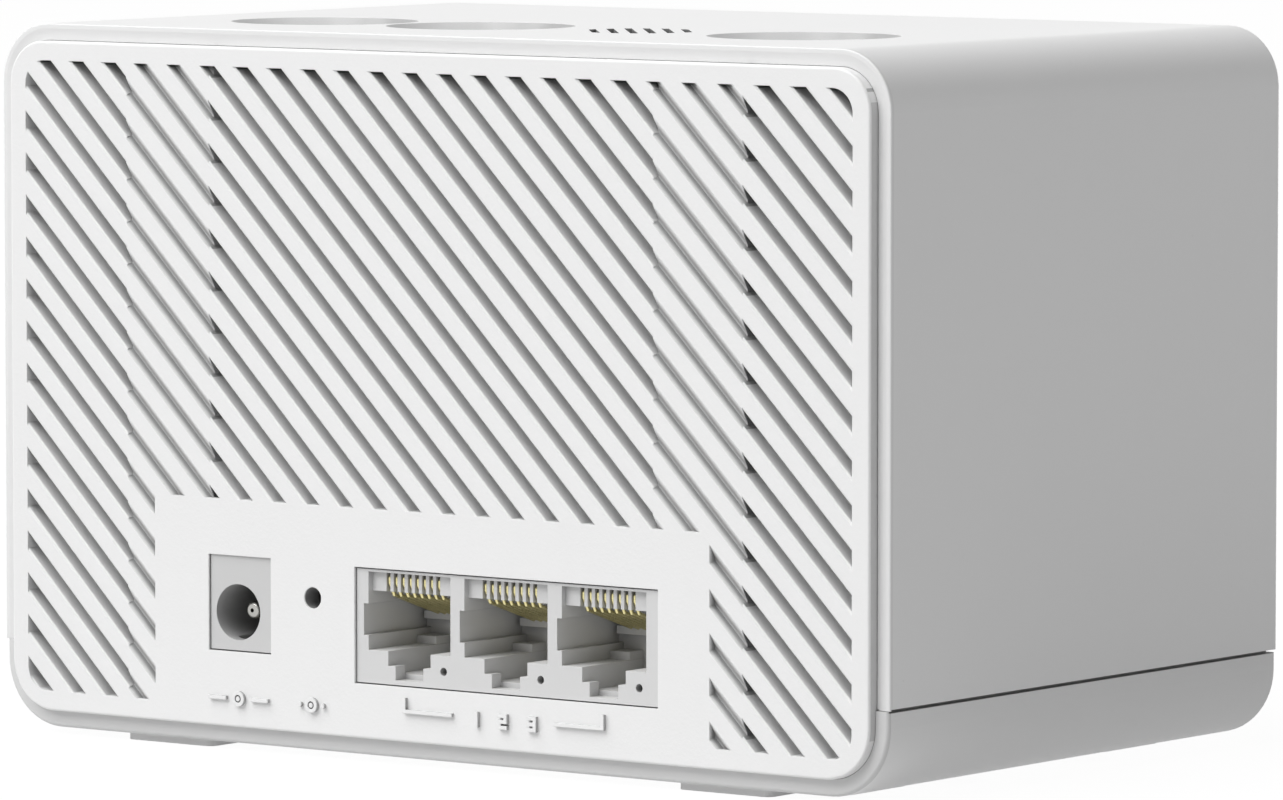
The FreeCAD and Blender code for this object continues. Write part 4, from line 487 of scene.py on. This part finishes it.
def metal(name, hex_colour, roughness, lines=None, line_width=LINE_WIDTH):
    """Bare or plated metal; lines is the axis along which it was drawn, their width in mm."""
    material, output = new_material(name)
    place = add_node(material, "ShaderNodeTexCoord").outputs["Object"]
    stretch = [LINE_STRETCH if axis == lines else 1.0 for axis in "XYZ"]
    drawn = add_node(material, "ShaderNodeMapping", Vector=place, Scale=stretch)
    marks = add_node(material, "ShaderNodeTexNoise", Vector=drawn.outputs[0],
                     Scale=per_mm(line_width), Detail=3.0)
    gloss = add_node(material, "ShaderNodeMapRange", Value=marks.outputs["Fac"],
                     To_Min=roughness * BRIGHTEST, To_Max=roughness * DULLEST)
    bump = add_node(material, "ShaderNodeBump", Height=marks.outputs["Fac"],
                    Distance=LINE_RELIEF * MM)
    shader = add_node(material, "ShaderNodeBsdfPrincipled", Base_Color=linear(hex_colour),
                      Metallic=1.0, Roughness=gloss.outputs["Result"], Normal=bump.outputs[0])
    return finish_material(material, output, shader)


print("lines are", round(1 / LINE_STRETCH), "times as long as they are wide")

# %% Make the metals
# Contacts: pale gold glints. Connectors: a deeper gold.
gold = metal("gold-plated wire", "#E8DEA6", 0.28)
brass = metal("gold-plated brass", "#D6B565", 0.28)
# The power socket's pin: a warm grey that mirrors fairly sharply.
nickel = metal("nickel-plated brass", "#BDBCB8", 0.24)
# Screws: a dull, bluish grey. Snap dome: clean and bright.
steel = metal("zinc-plated steel", "#B9BBBD", 0.35)
spring_steel = metal("stamped stainless sheet", "#BFC0C2", 0.28)
# Shield: milky, with lines across from rolling. Capacitor cans: lines up from drawing.
tin_sheet = metal("tin-plated sheet", "#C9C9C6", 0.32, lines="X")
can = metal("drawn aluminium can", "#C9CBCE", 0.3, lines="Z")
# Heat sink: soft and satin, with wide lines along its fins.
extruded = metal("extruded aluminium", "#C4C6C8", 0.38, lines="Y", line_width=0.25)
print("made", len([gold, brass, nickel, steel, spring_steel, tin_sheet, can, extruded]), "metals")

# %% [markdown]
# ## Circuit board
#
# The board is glass-fibre laminate under a green solder mask. Copper tracks stand up a
# little below the mask and show as lighter green lines. A drawn layout would be somebody's
# real board. A grid of straight tracks, broken up by noise, reads as a routed board without
# being any.

# %% A recipe for laminate
UNIT = 10              # mm; the sizes of the track grid are in parts of this
TRACK_HALF = 0.2       # mm, half a track; real ones are about 0.1, drawn wider so that they show
COPPER = 0.035         # mm, the usual thickness of copper foil
PATCH = 9              # mm, the size of areas with and without tracks
LAMINATE_IOR = 1.55    # epoxy over glass fibre


def laminate(name, mask_hex, track_hex, spacing, run):
    """Solder mask over tracks this far apart and this long, in mm: glossy, slightly raised."""
    material, output = new_material(name)
    place = add_node(material, "ShaderNodeTexCoord").outputs["Object"]
    cells = add_node(material, "ShaderNodeTexBrick", Vector=place, Scale=per_mm(UNIT),
                     Mortar_Size=TRACK_HALF / UNIT, Brick_Width=run / UNIT,
                     Row_Height=spacing / UNIT)
    patches = add_node(material, "ShaderNodeTexNoise", Vector=place, Scale=per_mm(PATCH),
                       Detail=1.0)
    routed = add_node(material, "ShaderNodeMath", {"operation": "GREATER_THAN"},
                      _0=patches.outputs["Fac"], _1=0.5)
    tracks = add_node(material, "ShaderNodeMath", {"operation": "MULTIPLY"},
                      _0=cells.outputs["Fac"], _1=routed.outputs[0])
    colour = add_node(material, "ShaderNodeMix", {"data_type": "RGBA"},
                      Factor=tracks.outputs[0], _6=linear(mask_hex), _7=linear(track_hex))
    bump = add_node(material, "ShaderNodeBump", Height=tracks.outputs[0], Distance=COPPER * MM)
    shader = add_node(material, "ShaderNodeBsdfPrincipled", Base_Color=colour.outputs[2],
                      Roughness=0.3, IOR=LAMINATE_IOR, Normal=bump.outputs[0])
    return finish_material(material, output, shader)


print("tracks are drawn", 2 * TRACK_HALF, "mm wide")

# %% Make the laminates
# The main board: a wet-looking green with lighter lines. Real tracks lie closer.
board_laminate = laminate("green solder mask on laminate", "#0F4A2A", "#2C7A4A",
                          spacing=1.69, run=6.5)
# The antennas: black, with a wider net of copper brown.
aerial_laminate = laminate("black solder mask on laminate", "#16191A", "#6B5A34",
                           spacing=5.2, run=20)
print("made", board_laminate.name, "|", aerial_laminate.name)

# %% [markdown]
# ## Small parts inside
#
# These are mouldings too, so they share the recipe. Each could have one of its own, but what
# differs is only the filler and the gloss. Powdered quartz makes chip resin matt. Ferrite is
# a sintered powder with open pores. Silicone stays soft and chalky, while acrylic, cast epoxy
# and the jacket of a lead are smooth.

# %% Make the remaining finishes
# Chips: a dusty black. Coils: rough as stone. Thermal pad: chalky.
chip_resin = moulded("moulded epoxy, black", "#1B1B1C", 0.55, grain=0.2)
ferrite = moulded("sintered ferrite, dark grey", "#3A3A3C", 0.7, grain=0.3, relief=0.02)
silicone_pad = moulded("soft silicone, blue grey", "#8E99AE", 0.6, relief=0.01)
# Push pins: waxy. Light guide: a wet gloss. Status light: glassy. Leads: slick.
white_nylon = moulded("moulded nylon, white", "#E4E4DC", 0.45)
milky_acrylic = moulded("moulded acrylic, milky", "#ECECE8", 0.2, relief=0.001, ior=1.49)
led_resin = moulded("cast epoxy, pale yellow", "#F0EDD0", 0.15, relief=0.001)
lead_jacket = moulded("extruded fluoropolymer, grey", "#6A6A6C", 0.35, relief=0.002, edge=0.05)
print("made", chip_resin.name, "|", ferrite.name, "|", silicone_pad.name, "and four more")

# %% [markdown]
# ## Dress every CAD piece
#
# The record names one material slot for each piece. Each piece could be named here by hand.
# A table from slot to finish is shorter, and a piece whose slot is missing from it stops the
# script, so none is forgotten.

# %% Put the finishes on
FINISHES = {
    "shell_plastic": case_abs, "base_plastic": base_abs, "panel_plastic": panel_abs,
    "foot_rubber": foot_rubber, "socket_plastic": socket_nylon, "contact_gold": gold,
    "power_plastic": power_nylon, "pin_nickel": nickel, "switch_plastic": black_plastic,
    "button_plastic": button_plastic, "dome_steel": spring_steel,
    "board_laminate": board_laminate, "chip_resin": chip_resin, "transformer_case": chip_resin,
    "coil_ferrite": ferrite, "capacitor_can": can, "shield_tin": tin_sheet,
    "thermal_silicone": silicone_pad, "sink_aluminium": extruded, "pin_nylon": white_nylon,
    "led_resin": led_resin, "light_guide_acrylic": milky_acrylic, "screw_steel": steel,
    "antenna_laminate": aerial_laminate, "connector_brass": brass, "lead_jacket": lead_jacket,
}

for subpart in frame["record"]["subparts"]:
    piece = nodes[subpart["node"]]
    piece.data.materials.clear()
    piece.data.materials.append(FINISHES[subpart["material_slot"]])
print("dressed", len(nodes), "CAD pieces in", len(FINISHES), "finishes")
